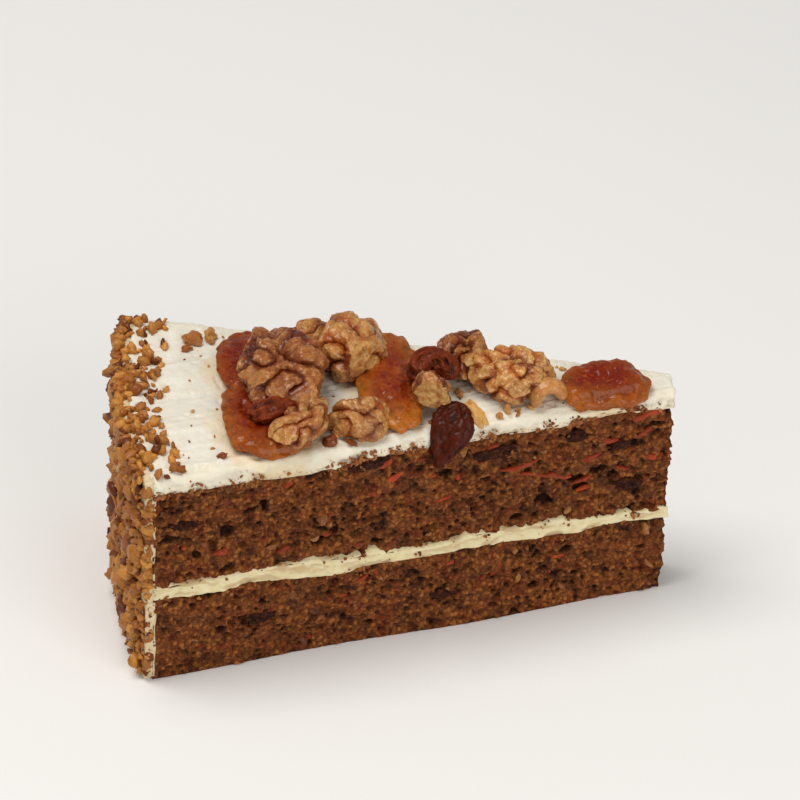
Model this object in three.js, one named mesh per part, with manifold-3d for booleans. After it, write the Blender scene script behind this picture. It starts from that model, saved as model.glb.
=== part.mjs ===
// A slice of carrot cake, cut as a wedge from a round cake of two sponge layers.
// Cream lies between the layers, frosting on top and chopped nuts round the rim. Candied apricot halves,
// raisins and walnut pieces lie on the frosting. Millimetres, +Z up, the front cut faces -Y, the tip is at
// +X.
import * as THREE from "three";
import { mergeVertices } from "three/addons/utils/BufferGeometryUtils.js";
import Module from "manifold-3d";

const wasm = await Module();
wasm.setup();

// The wedge in plan: one of fourteen portions of the round cake, its thin end trimmed off
const CAKE_RADIUS = 142.4; // middle of the cake to the outside of the nuts
const WEDGE_ANGLE = THREE.MathUtils.degToRad(360 / 14);
const TIP_RADIUS = 19.1;
const TIP_X = 62; // front corner of the trimmed end
const FRONT_Y = -28.4; // the front cut
const COAT_THICKNESS = 3.8; // frosting and nuts round the rim
const NUT_STANDS_OUT = 1.5; // of that, what the nuts stand proud of their frosting
const GAP = 0.3; // between neighbouring pieces

// Heights of the layers' surfaces, [at the rim, at the tip]
const CREAM_BOTTOM = [21.6, 19.6];
const CREAM_TOP = [25.8, 23.2];
const SPONGE_TOP = [48.9, 50.8];
const FROSTING_TOP = [54.9, 54.7];
const EDGE_DROP = 2.2; // the frosting's edge rounds off by this much
const EDGE_ROUND = 3.3; // over this distance from a cut
const COAT_FOOT = 0.8; // the rim's coat stops this far above the plate

// Lattice of the layers: steps from tip to rim, and from the front cut to the back cut
const STEPS_ALONG = 16;
const STEPS_ACROSS = 7;

const RIM_RADIUS = CAKE_RADIUS - COAT_THICKNESS; // outside of the sponge and of the top frosting
const CENTRE_X = TIP_X + TIP_RADIUS; // middle of the whole cake
const LENGTH = CAKE_RADIUS - TIP_RADIUS;

const COLOURS = {
  sponge: { color: 0x8a4e26, roughness: 0.9 },
  cream: { color: 0xf1e2bd, roughness: 0.5 },
  frosting: { color: 0xf6f0e1, roughness: 0.45 },
  nuts: { color: 0xc08a4e, roughness: 0.75 },
  apricot: { color: 0xcf5a1c, roughness: 0.25 },
  raisin: { color: 0x45201a, roughness: 0.35 },
  walnut: { color: 0xa8693a, roughness: 0.5 },
};

// Heights of the surfaces between the layers, as gentle waves over the plan

function levelAt(x, [atRim, atTip]) {
  return THREE.MathUtils.lerp(atRim, atTip, (x - TIP_X + LENGTH) / LENGTH);
}

function creamBottom(x, y) {
  return levelAt(x, CREAM_BOTTOM) + 0.6 * Math.sin(x / 8.3 + 0.8) + 0.35 * Math.sin(x / 4.3 + y / 7.5);
}

function creamTop(x, y) {
  return levelAt(x, CREAM_TOP) + 0.55 * Math.sin(x / 10 - 1.2) + 0.35 * Math.sin(y / 6.5 + x / 14);
}

function spongeTop(x, y) {
  return levelAt(x, SPONGE_TOP) + 0.7 * Math.sin(x / 7.8 + 2.1) + 0.45 * Math.sin(x / 4.5 + y / 8.3);
}

// Long low ridges that the spatula left, running from the tip to the rim
function frostingLevel(x, y) {
  const ridges = 0.4 * Math.sin(y / 3.1 + 0.8 * Math.sin(x / 19));
  return levelAt(x, FROSTING_TOP) + ridges + 0.3 * Math.sin(x / 11 + y / 17);
}

// How far the frosting's edge has rounded off, at a distance from the nearest cut
function edgeDrop(distance) {
  const inwards = 1 - Math.min(Math.max(distance / EDGE_ROUND, 0), 1);
  return EDGE_DROP * (1 - Math.sqrt(1 - inwards * inwards));
}

function distanceToCut(x, y) {
  const fromFront = y - FRONT_Y;
  const fromBack = (CENTRE_X - x) * Math.sin(WEDGE_ANGLE) - fromFront * Math.cos(WEDGE_ANGLE);
  return Math.min(fromFront, fromBack);
}

function frostingTop(x, y) {
  return frostingLevel(x, y) - edgeDrop(distanceToCut(x, y));
}

const pointAt = (r, turn) => [CENTRE_X - r * Math.cos(turn), FRONT_Y + r * Math.sin(turn)];

// Points of the wedge in plan: along from the tip (0) to the rim (1), across from the front cut (0) to the
// back cut (1)
function planPoint(along, across, inner, outer) {
  return pointAt(THREE.MathUtils.lerp(inner, outer, along), across * WEDGE_ANGLE);
}

// Lattice lines lie closer together near both cuts
const crowdToCuts = (t) => 0.5 - 0.5 * Math.cos(Math.PI * t);

// The knife wandered a little, so the cut faces are not quite flat
function wander(x, z) {
  return 0.35 * Math.sin(x / 10 + z / 14) + 0.3 * Math.sin(x / 23 - z / 6);
}

// The skin of a block whose lattice corners are placed by a function, opposite faces split alike
function latticeBlock(columns, rows, courses, place) {
  const points = [];
  const quad = (a, b, c, d) => points.push(a, b, c, a, c, d);
  const skin = (n, m, near, far) => {
    for (let i = 0; i < n; i++) {
      for (let j = 0; j < m; j++) {
        quad(far(i, j), far(i + 1, j), far(i + 1, j + 1), far(i, j + 1));
        points.push(near(i, j), near(i + 1, j + 1), near(i + 1, j));
        points.push(near(i, j), near(i, j + 1), near(i + 1, j + 1));
      }
    }
  };
  skin(columns, rows, (i, j) => place(i, j, 0), (i, j) => place(i, j, courses));
  skin(rows, courses, (j, k) => place(0, j, k), (j, k) => place(columns, j, k));
  skin(courses, columns, (k, i) => place(i, 0, k), (k, i) => place(i, rows, k));
  const geometry = new THREE.BufferGeometry();
  return geometry.setAttribute("position", new THREE.Float32BufferAttribute(points.flat(), 3));
}

// One layer of the wedge between two heights; spare widens it past both cuts
function wedgeLayer(layer) {
  const { inner = TIP_RADIUS, outer = RIM_RADIUS, columns = STEPS_ALONG, courses = 1, spare = 0 } = layer;
  return latticeBlock(columns, STEPS_ACROSS, courses, (i, j, k) => {
    // column 0 is the rim, so that the block faces outwards
    const [x, y] = planPoint(1 - i / columns, crowdToCuts(j / STEPS_ACROSS), inner, outer);
    const z = THREE.MathUtils.lerp(layer.low(x, y), layer.high(x, y), k / courses);
    const outwards = { 0: -1, [STEPS_ACROSS]: 1 }[j] ?? 0;
    return [x, y + outwards * (wander(x, z) + spare), z];
  });
}

// Geometry to solid and back

function solidOf(geometry) {
  const bare = geometry.clone();
  bare.deleteAttribute("normal");
  bare.deleteAttribute("uv");
  const merged = mergeVertices(bare, 1e-4);
  return new wasm.Manifold(
    new wasm.Mesh({
      numProp: 3,
      vertProperties: merged.attributes.position.array,
      triVerts: new Uint32Array(merged.index.array),
    }),
  );
}

function geometryOf(solid) {
  const { vertProperties, triVerts } = solid.getMesh();
  const geometry = new THREE.BufferGeometry();
  geometry.setAttribute("position", new THREE.BufferAttribute(vertProperties, 3));
  geometry.setIndex(new THREE.BufferAttribute(triVerts, 1));
  geometry.computeVertexNormals();
  return geometry;
}

function largestBody(solid) {
  return solid.decompose().reduce((best, body) => (body.volume() > best.volume() ? body : best));
}

// A compact piece grown all round by a little more than the gap, to cut the seat of what lies on it
function grown(solid) {
  const { min, max } = solid.boundingBox();
  const middle = min.map((low, i) => (low + max[i]) / 2);
  const scale = min.map((low, i) => 1 + (3 * GAP) / (max[i] - low));
  const scaled = solid.translate(middle.map((v) => -v)).scale(scale).translate(middle);
  return scaled.add(solid.translate([0, 0, GAP])).add(solid.translate([GAP, 0, 0]));
}

// A solid with the gap added on top and in front
function thickened(solid) {
  return solid.add(solid.translate([0, 0, GAP])).add(solid.translate([0, -GAP, 0]));
}

// A repeatable draw between 0 and 1
function makeDraw(seed) {
  let state = seed;
  return () => {
    state = (state * 1664525 + 1013904223) % 4294967296;
    return state / 4294967296;
  };
}

// A chopped nut: a rough little chunk
function nutChunk(draw, width) {
  const geometry = new THREE.IcosahedronGeometry(width / 2, 0);
  const squash = new THREE.Vector3(0.8 + 0.5 * draw(), 0.7 + 0.5 * draw(), 0.55 + 0.4 * draw());
  geometry.scale(squash.x, squash.y, squash.z);
  geometry.rotateX(Math.PI * draw());
  geometry.rotateZ(Math.PI * draw());
  return geometry;
}

function joined(core, pieces) {
  return largestBody(pieces.reduce((sum, piece) => sum.add(solidOf(piece)), core));
}

// Frosting with the nut bits and crumbs of fruit that lie on it

const BIT_SINKS = 0.35; // share of a bit's width that is under the frosting's surface
const FROSTING_BITS = [
  // [x, y, width]: at the rim end, by the front edge and near the middle raisin
  [-34.6, 19.1, 4.8],
  [-30.4, 19.3, 4.2],
  [-36.8, 16.3, 2.6],
  [-41.1, -24.9, 2.4],
  [-17.1, -26.2, 3.4],
  [-15.2, -23.9, 2.6],
  [17.8, -24.3, 5],
  [23.6, -25.5, 3],
  [15.4, -17.7, 2.8],
];
const RIM_BITS = 16; // more of the rim's nuts strayed onto the top
const RIM_BITS_REACH = 10;
const RIM_BIT_WIDTH = [2.4, 4.6];

function frostingPieces() {
  const draw = makeDraw(7);
  const bits = FROSTING_BITS.map(([x, y, width]) => ({ x, y, width }));
  for (let i = 0; i < RIM_BITS; i++) {
    const r = RIM_RADIUS - 3 - RIM_BITS_REACH * draw() ** 2;
    const turn = WEDGE_ANGLE * (0.04 + 0.92 * ((i + draw()) / RIM_BITS));
    const [x, y] = pointAt(r, turn);
    bits.push({ x, y, width: RIM_BIT_WIDTH[0] + (RIM_BIT_WIDTH[1] - RIM_BIT_WIDTH[0]) * draw() });
  }
  return bits.map(({ x, y, width }) => {
    const z = frostingTop(x, y) + width * (0.3 - BIT_SINKS);
    return nutChunk(draw, width).translate(x, y, z);
  });
}

// Coat of the rim: frosting under a pebbled layer of chopped nuts, the largest standing proud of the rest
// and a few lying over the top edge

const COAT_STEPS_ACROSS = 22;
const COAT_COURSES = 18;
const PEBBLE_HEIGHT = 1.3;
const PEBBLE_PITCH = 1.5; // millimetres for each radian of the pattern
const COAT_ROWS = 7;
const COAT_NUTS_IN_ROW = 7;
const COAT_NUT_WIDTH = [5.4, 7.4];
const COAT_NUT_DEPTH = 1; // middle of a nut under the outside of the coat
const FIRST_ROW = 4.4; // height of the lowest row's middle
const RIM_OVERLAP = 4.5; // how far the coat's nuts may lie over the top edge

function pebbles(aroundRim, z) {
  const u = aroundRim / PEBBLE_PITCH;
  const v = z / PEBBLE_PITCH;
  const across = Math.sin(u + 0.9 * Math.sin(v / 2.1));
  const upwards = Math.sin(v + 0.9 * Math.sin(u / 1.8));
  return PEBBLE_HEIGHT * Math.abs(across * upwards);
}

function coatCore() {
  return latticeBlock(1, COAT_STEPS_ACROSS, COAT_COURSES, (i, j, k) => {
    const turn = WEDGE_ANGLE * (j / COAT_STEPS_ACROSS);
    const z = THREE.MathUtils.lerp(COAT_FOOT, FROSTING_TOP[0] - 0.4, k / COAT_COURSES);
    const outside = CAKE_RADIUS - NUT_STANDS_OUT + pebbles(turn * CAKE_RADIUS, z);
    return [...pointAt(i === 0 ? outside : RIM_RADIUS - 1, turn), z];
  });
}

function coatNuts() {
  const draw = makeDraw(23);
  const pieces = [];
  for (let row = 0; row < COAT_ROWS; row++) {
    for (let i = 0; i < COAT_NUTS_IN_ROW; i++) {
      const width = COAT_NUT_WIDTH[0] + (COAT_NUT_WIDTH[1] - COAT_NUT_WIDTH[0]) * draw();
      const shift = row % 2 ? 0.65 : 0.15; // every other row is set over by half a nut
      const turn = (WEDGE_ANGLE * (i + shift + 0.5 * draw())) / (COAT_NUTS_IN_ROW + 0.5);
      const height = (row + 0.4 * draw()) / (COAT_ROWS - 1);
      const z = FIRST_ROW + (FROSTING_TOP[0] - FIRST_ROW + COAT_FOOT) * height;
      const overTheEdge = 1.5 * Math.max(z - FROSTING_TOP[0], 0);
      const r = CAKE_RADIUS - COAT_NUT_DEPTH + 0.8 * draw() - overTheEdge;
      pieces.push(nutChunk(draw, width).translate(...pointAt(r, turn), z));
    }
  }
  return pieces;
}

// Toppings: each shape is worked out about its own middle, then turned and set down

// A candied apricot half: a soft disc with a lobed outline, a full rim and a sunken, creased middle
function apricot({ size, seed, squareness = 2 }) {
  const geometry = new THREE.SphereGeometry(1, 20, 8);
  geometry.rotateX(Math.PI / 2);
  return shaped(geometry, (p) => {
    const angle = Math.atan2(p.y, p.x);
    const spread = Math.hypot(p.x, p.y);
    const sides = [Math.cos(angle), Math.sin(angle)].map((s) => Math.abs(s) ** squareness);
    const boxy = (sides[0] + sides[1]) ** (-1 / squareness);
    const outline = boxy + 0.06 * Math.sin(2 * angle + seed) + 0.05 * Math.sin(3 * angle + 2 * seed);
    const full = Math.sign(p.z) * Math.abs(p.z) ** 0.6;
    const sunken = 1 - 0.35 * (1 - spread) + 0.12 * Math.sin(5 * p.x + seed) * Math.cos(4 * p.y - seed);
    return [(p.x * outline * size[0]) / 2, (p.y * outline * size[1]) / 2, (full * sunken * size[2]) / 2];
  });
}

// A raisin: a plump pod with long wrinkles
function raisin({ size, seed, bend = 0 }) {
  const geometry = new THREE.SphereGeometry(1, 12, bend ? 14 : 9);
  geometry.rotateZ(Math.PI / 2);
  return shaped(geometry, (p) => {
    const round = Math.atan2(p.z, p.y);
    const wrinkle = 1 + 0.09 * Math.sin(5 * round + 2.5 * p.x + seed) + 0.05 * Math.sin(3 * round - seed);
    const [x, y, z] = [(p.x * size[0]) / 2, (p.y * wrinkle * size[1]) / 2, (p.z * wrinkle * size[2]) / 2];
    if (!bend) return [x, y, z];
    // a long raisin curled round on itself, so that its middle line is an arc
    const radius = size[0] / bend;
    const turn = x / radius;
    return [(radius - y) * Math.sin(turn), radius - (radius - y) * Math.cos(turn), z];
  });
}

// Folds of a walnut kernel: rounded ridges between narrow creases that wind like a labyrinth
function kernelFolds(x, y, z, seed) {
  const [a, b, c] = [x + seed, y + 1.7 * seed, z - seed];
  const labyrinth = Math.sin(a) * Math.cos(b) + Math.sin(b) * Math.cos(c) + Math.sin(c) * Math.cos(a);
  return Math.sqrt(Math.abs(labyrinth)) - 0.7;
}

const FOLD_PITCH = 1.45; // millimetres for each radian of the labyrinth
const FOLD_DEPTH = 0.17; // share of the kernel's half size

// A walnut piece: a kernel with folds, a long groove where its two halves grew, and a broken end if cut
function walnut({ size, seed, groove = 0.2, broken = 1 }) {
  const geometry = new THREE.SphereGeometry(1, 16, 11);
  geometry.rotateX(Math.PI / 2);
  return shaped(geometry, (p) => {
    const half = size.map((s) => s / 2);
    const folds = kernelFolds(...p.toArray().map((v, i) => (v * half[i]) / FOLD_PITCH), seed);
    const valley = groove * Math.exp(-((p.y / 0.22) ** 2)) * Math.max(p.z, 0);
    const swell = 1 + FOLD_DEPTH * folds - valley;
    const x = Math.min(p.x * swell, broken + 0.05 * Math.sin(6 * p.y + seed));
    return [x * half[0], p.y * swell * half[1], p.z * swell * half[2]];
  });
}

// The hook of a kernel's broken lobe: a short arch standing beside the walnut that it grew on
function walnutArch({ radius, thickness }) {
  const points = [0, 0.25, 0.5, 0.75, 1].map((t) => {
    const turn = Math.PI * (1.08 - 1.16 * t);
    return new THREE.Vector3(radius * Math.cos(turn), 0, radius * 1.15 * Math.sin(turn));
  });
  const section = new THREE.Shape();
  section.absellipse(0, 0, thickness / 2, thickness * 0.8, 0, 2 * Math.PI);
  const path = new THREE.CatmullRomCurve3(points);
  const settings = { steps: 8, curveSegments: 4, bevelEnabled: false, extrudePath: path };
  return new THREE.ExtrudeGeometry(section, settings);
}

function shaped(geometry, place) {
  const position = geometry.attributes.position;
  const p = new THREE.Vector3();
  for (let i = 0; i < position.count; i++) {
    p.fromBufferAttribute(position, i);
    position.setXYZ(i, ...place(p));
  }
  return geometry;
}

// Each topping: name, shape, place in plan, height of its middle over the frosting there, size, and the rest:
// the seed of its own form, turns in degrees and what its shape takes besides
const TOPPINGS = [
  ["apricot_left_back", apricot, [-24.2, 3.2], 2, [19, 26, 5], { seed: 1.2 }],
  ["apricot_left_front", apricot, [-28.4, -17], 2, [20, 22, 5], { squareness: 3.4, yaw: -14, seed: 3.4 }],
  ["apricot_centre", apricot, [1.8, -11.3], 2, [16, 31, 5], { yaw: -14, seed: 5.1 }],
  ["walnut_right", walnut, [27, -19.1], 4.2, [18, 12.5, 9.4], { yaw: -20, seed: 2.9 }],
  ["apricot_right", apricot, [46.8, -23.9], 1.9, [21, 12.5, 5.8], { yaw: 3, seed: 2.2 }],
  ["walnut_left", walnut, [-22.2, -5.9], 7.4, [25, 18, 10.5], { yaw: 80, seed: 0.6 }],
  ["raisin_left", raisin, [-27.6, -18.3], 5.8, [11.4, 6.4, 5.2], { yaw: 8, seed: 1 }],
  ["walnut_front_left", walnut, [-22.8, -23.9], 5, [17, 8, 6.8], { yaw: 38, seed: 2.4 }],
  ["walnut_golden", walnut, [-4.2, -0.3], 5, [17, 14.5, 11], { yaw: 60, seed: 4.2 }],
  ["walnut_back", walnut, [-10.6, 7.1], 3.6, [9.5, 7.5, 7.6], { yaw: 20, seed: 5.5 }],
  ["walnut_front", walnut, [-9.4, -23.3], 3.4, [13, 9.5, 7.4], { yaw: -15, seed: 1.9 }],
  ["raisin_curled", raisin, [10, -13.6], 6.8, [13.6, 6, 7], { bend: 4.3, yaw: 172, seed: 2 }],
  ["walnut_chip", walnut, [7, -22.9], 7.4, [9.6, 7.4, 7], { yaw: 70, tilt: 20, seed: 3.1 }],
  ["walnut_dark", walnut, [19.4, -9.3], 4.6, [14.5, 11, 9.8], { yaw: 62, seed: 6.1 }],
  ["raisin_hanging", raisin, [8.9, -28.4], 1, [15, 8.4, 5.8], { pitch: 50, yaw: -136, seed: 4 }],
];

const ARCH = { radius: 3, thickness: 3, at: [33, -25.5], over: 1.6, yaw: 5 };

function setDown(geometry, { at: [x, y], over, yaw = 0, tilt = 0, pitch = 0 }) {
  geometry.rotateX(THREE.MathUtils.degToRad(tilt));
  geometry.rotateY(THREE.MathUtils.degToRad(pitch));
  geometry.rotateZ(THREE.MathUtils.degToRad(yaw));
  return geometry.translate(x, y, frostingTop(x, y) + over);
}

// A soft piece follows the frosting under it, over its rounded edge too
function drape(geometry, { at: [x, y] }) {
  return shaped(geometry, (p) => [p.x, p.y, p.z + frostingTop(p.x, p.y) - frostingTop(x, y)]);
}

// The whole slice

const slice = new THREE.Group();

function addNode(name, solid, colour) {
  const material = new THREE.MeshStandardMaterial({ metalness: 0, ...colour });
  const mesh = new THREE.Mesh(geometryOf(solid), material);
  mesh.name = name;
  slice.add(mesh);
}

const flat = (height) => () => height;
const lifted = (surface, by) => (x, y) => surface(x, y) + by;

const bottomSponge = solidOf(wedgeLayer({ low: flat(0), high: lifted(creamBottom, -GAP), courses: 2 }));
const cream = solidOf(wedgeLayer({ low: creamBottom, high: creamTop }));
const underFrosting = lifted(spongeTop, -GAP);
const topSponge = solidOf(wedgeLayer({ low: lifted(creamTop, GAP), high: underFrosting, courses: 3 }));
const bareFrosting = solidOf(wedgeLayer({ low: spongeTop, high: frostingTop, courses: 2 }));
const coatLimits = wedgeLayer({
  inner: RIM_RADIUS - RIM_OVERLAP,
  outer: CAKE_RADIUS + RIM_OVERLAP,
  low: flat(COAT_FOOT),
  high: lifted(frostingLevel, RIM_OVERLAP),
  columns: 1,
});
const behindCoat = wedgeLayer({
  outer: RIM_RADIUS + GAP,
  low: flat(-1),
  high: lifted(frostingTop, GAP),
  spare: 2,
});
const nutCoat = largestBody(
  joined(solidOf(coatCore()), coatNuts())
    .intersect(solidOf(coatLimits))
    .subtract(solidOf(behindCoat))
    .subtract(thickened(bareFrosting)),
);

// The toppings go down one by one, each cut to sit on those below it
const laid = [thickened(topSponge), thickened(bareFrosting)];
const toppings = TOPPINGS.map(([name, shape, at, over, size, rest]) => {
  const topping = { at, over, size, ...rest };
  const placed = setDown(shape(topping), topping);
  let whole = solidOf(shape === apricot ? drape(placed, topping) : placed);
  if (name === "walnut_right") whole = whole.add(solidOf(setDown(walnutArch(ARCH), ARCH)));
  const solid = laid.reduce((left, below) => left.subtract(below), whole);
  laid.push(grown(whole));
  return { name, solid: largestBody(solid), colour: COLOURS[shape.name] };
});

// Bits that would touch a topping or the coat are left off
const neighbours = [nutCoat, ...toppings.map(({ solid }) => solid)];
const clearBits = frostingPieces().filter((bit) => {
  const room = grown(solidOf(bit));
  return neighbours.every((other) => room.intersect(other).isEmpty());
});

addNode("bottom_sponge", bottomSponge, COLOURS.sponge);
addNode("cream_filling", cream, COLOURS.cream);
addNode("top_sponge", topSponge, COLOURS.sponge);
addNode("frosting", joined(bareFrosting, clearBits), COLOURS.frosting);
addNode("nut_coat", nutCoat, COLOURS.nuts);
for (const { name, solid, colour } of toppings) addNode(name, solid, colour);

export default slice;
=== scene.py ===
import math

import bpy
import numpy as np
from mathutils import Matrix, Vector


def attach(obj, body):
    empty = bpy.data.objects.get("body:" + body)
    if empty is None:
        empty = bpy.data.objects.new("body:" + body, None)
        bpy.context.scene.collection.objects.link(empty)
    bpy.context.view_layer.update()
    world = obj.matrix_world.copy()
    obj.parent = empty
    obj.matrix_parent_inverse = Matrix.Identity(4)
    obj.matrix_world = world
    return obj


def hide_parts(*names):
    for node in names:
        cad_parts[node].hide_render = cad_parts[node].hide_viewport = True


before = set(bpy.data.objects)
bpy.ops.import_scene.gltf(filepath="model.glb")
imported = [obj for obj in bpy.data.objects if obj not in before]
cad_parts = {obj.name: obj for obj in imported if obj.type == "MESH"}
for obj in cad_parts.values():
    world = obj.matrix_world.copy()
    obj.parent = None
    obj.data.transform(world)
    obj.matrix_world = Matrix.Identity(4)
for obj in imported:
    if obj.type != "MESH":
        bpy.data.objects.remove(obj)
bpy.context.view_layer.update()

# Floor, light and camera. The slice stands on a plain pale floor in soft studio light: one large soft source
# above and behind it on the left, a weaker one in front, and light from all round. The camera looks down on
# the front cut from the rim's side, through a long lens.
MM = 0.001  # everything below is worked out in millimetres
CAMERA_PLACE = (-289.5, -820.4, 668.6)
CAMERA_RIGHT = (0.94743, -0.31824, 0.03321)
CAMERA_UP = (0.16003, 0.56117, 0.81210)
CAMERA_BACK = (-0.27708, -0.76409, 0.58260)
CAMERA_LENS = 216.9
VIEW_REACH = 20.0  # metres
LIT_POINT = (0, 0, 30)
LIGHTS = [  # name, place, size, power in watts, colour
    ("key_light", (-340, 60, 1040), 600, 7.4, (1.0, 0.97, 0.93)),
    ("front_light", (250, -900, 420), 700, 3.9, (1.0, 0.975, 0.94)),
]
LIGHT_ALL_ROUND = 0.31
FLOOR_HALF = 1500.0


def add_object(name, data):
    """A new object in the scene that shows a mesh, light or camera."""
    made = bpy.data.objects.new(name, data)
    bpy.context.scene.collection.objects.link(made)
    return made


camera_data = bpy.data.cameras.new("camera")
camera_data.lens = CAMERA_LENS
camera_data.clip_end = VIEW_REACH
camera = add_object("camera", camera_data)
camera_axes = Matrix((CAMERA_RIGHT, CAMERA_UP, CAMERA_BACK)).transposed().to_4x4()
camera.matrix_world = Matrix.Translation([v * MM for v in CAMERA_PLACE]) @ camera_axes
bpy.context.scene.camera = camera
bpy.context.scene.view_settings.view_transform = "Standard"


def soft_light(name, place, size, power, colour):
    """A square light of a size in millimetres that faces the middle of the slice."""
    data = bpy.data.lights.new(name, "AREA")
    data.size = size * MM
    data.energy = power
    data.color = colour
    light = add_object(name, data)
    light.location = [v * MM for v in place]
    back = light.location - Vector([v * MM for v in LIT_POINT])
    light.rotation_euler = back.to_track_quat("Z", "Y").to_euler()
    return light


lights = [soft_light(*row) for row in LIGHTS]
world = bpy.data.worlds.new("studio")
world.use_nodes = True
all_round = world.node_tree.nodes["Background"].inputs
all_round["Color"].default_value = (1.0, 0.99, 0.97, 1.0)
all_round["Strength"].default_value = LIGHT_ALL_ROUND
bpy.context.scene.world = world

floor_mesh = bpy.data.meshes.new("floor")
corners = [(-1, -1), (1, -1), (1, 1), (-1, 1)]
floor_points = [(x * FLOOR_HALF * MM, y * FLOOR_HALF * MM, 0) for x, y in corners]
floor_mesh.from_pydata(floor_points, [], [(0, 1, 2, 3)])
floor = add_object("floor", floor_mesh)
floor_finish = bpy.data.materials.new("pale_floor")
floor_finish.use_nodes = True
floor_paint = floor_finish.node_tree.nodes["Principled BSDF"].inputs
floor_paint["Base Color"].default_value = (0.92, 0.92, 0.91, 1.0)
floor_paint["Roughness"].default_value = 0.9
floor_mesh.materials.append(floor_finish)

# Bottom sponge: the lower of two round layers of moist carrot sponge, cut as one of fourteen portions, its
# thin end trimmed. The knife tore the crumb a little, so the cuts are rough: grains, hollows and holes.
CAKE_RADIUS = 142.4  # of the whole cake, with its nut coat
WEDGE_ANGLE = math.radians(360 / 14)
TIP_RADIUS = 19.1  # where the thin end was trimmed
TIP_X = 62.0
FRONT_Y = -28.4
RIM_RADIUS = CAKE_RADIUS - 3.8  # where the sponge ends and the coat begins
ALONG_CUT = (TIP_RADIUS + 2, RIM_RADIUS - 2)  # radii clear of both ends
CENTRE_X = TIP_X + TIP_RADIUS
LENGTH = CAKE_RADIUS - TIP_RADIUS
CREAM_BOTTOM = (21.6, 19.6)  # heights at the rim and at the thin end
TUCK = 0.5  # layers reach this far into each other, so that no gap shows between them
CRUMB_STEP = 0.3  # between the points of the crumb's surface
# The darkest crumb colour below is painted shade, laid into the hollows, holes and pores.
CRUMB_HOLLOW_SHADE = (40, 15, 4)
CRUMB_BROWN = (104, 50, 19)
# The pale crumb colour is each grain's own tone and also a painted highlight where the crumb rises.
CRUMB_PALE_AND_HIGHLIGHT = (172, 102, 46)
CRUMB_RUST = (128, 44, 14)


def level(x, heights):
    """Height at x on the straight slope from the rim to the thin end."""
    at_rim, at_tip = heights
    return at_rim + (at_tip - at_rim) * (x - TIP_X + LENGTH) / LENGTH


def in_plan(radius, turn):
    """x and y at a radius from the middle of the cake and a turn back from the front cut."""
    return CENTRE_X - radius * np.cos(turn), FRONT_Y + radius * np.sin(turn)


def join(*grids):
    """Grids of numbers side by side as one grid of points, or of faces."""
    return np.stack(grids, axis=-1)


def cream_bottom(x, y):
    """The slope with two sine waves along x, the second slanting over y."""
    return level(x, CREAM_BOTTOM) + 0.6 * np.sin(x / 8.3 + 0.8) + 0.35 * np.sin(x / 4.3 + y / 7.5)


def wander(x, z):
    """How far the knife strayed out of its plane: two long slanting sine waves."""
    return 0.35 * np.sin(x / 10 + z / 14) + 0.3 * np.sin(x / 23 - z / 6)


def draw_at(cells, seed):
    """A number from 0 to 1 for each whole-numbered cell: its numbers are multiplied and their bits mixed."""
    low_bits = 0xFFFFFFFF
    c = cells.astype(np.int64)
    mixed = (c[..., 0] * 73856093) ^ (c[..., 1] * 19349663) ^ (c[..., 2] * 83492791) ^ (seed * 40503)
    mixed = mixed & low_bits
    mixed = ((mixed ^ (mixed >> 13)) * 1274126177) & low_bits
    mixed = ((mixed ^ (mixed >> 16)) * 1103515245) & low_bits
    return ((mixed ^ (mixed >> 15)) & 0xFFFFFF) / float(0x1000000)


def soft_noise(p, seed):
    """Numbers drawn at whole-numbered points and blended between them by a smooth step on each axis."""
    cell = np.floor(p)
    part = p - cell
    part = part * part * (3 - 2 * part)
    total = np.zeros(p.shape[:-1])
    for corner in np.ndindex(2, 2, 2):
        share = np.prod(np.where(np.array(corner) == 1, part, 1 - part), axis=-1)
        total += share * draw_at(cell + np.array(corner), seed)
    return total


def layered_noise(p, seed, layers=4):
    """Soft noise with finer and weaker noise added, each layer twice as fine and half as strong."""
    total = sum(0.5 ** k * soft_noise(p * 2.0 ** k, seed + k) for k in range(layers))
    return total / (2 - 0.5 ** (layers - 1))


def grain_distance(p, seed):
    """Distance to the nearest of the points drawn one to a cell, which is small in the middle of a grain."""
    cell = np.floor(p)
    nearest = np.full(p.shape[:-1], np.inf)
    for step in np.ndindex(3, 3, 3):
        other = cell + np.array(step) - 1
        point = other + join(*(draw_at(other, seed + axis) for axis in range(3)))
        nearest = np.minimum(nearest, ((p - point) ** 2).sum(-1))
    return np.sqrt(nearest)


def smooth_step(low, high, values):
    """0 below low, 1 above high and an S-shaped rise between."""
    t = np.clip((values - low) / (high - low), 0, 1)
    return t * t * (3 - 2 * t)


def section_path(rows, top_columns, bottom_columns):
    """Once round a layer's section: up the front cut, over the top, down the back cut and back under, with
    the columns closer together near the cuts. Gives the share of the way across the wedge, and of the way
    up the layer."""
    up = np.linspace(0, 1, rows, endpoint=False)
    over, under = (np.linspace(0, 1, n, endpoint=False) for n in (top_columns, bottom_columns))
    over, under = (0.6 * t + 0.2 * (1 - np.cos(np.pi * t)) for t in (over, under))
    across = np.concatenate([0 * up, over, 0 * up + 1, 1 - under])
    height = np.concatenate([up, 0 * over + 1, 1 - up, 0 * under])
    return across, height


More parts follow.
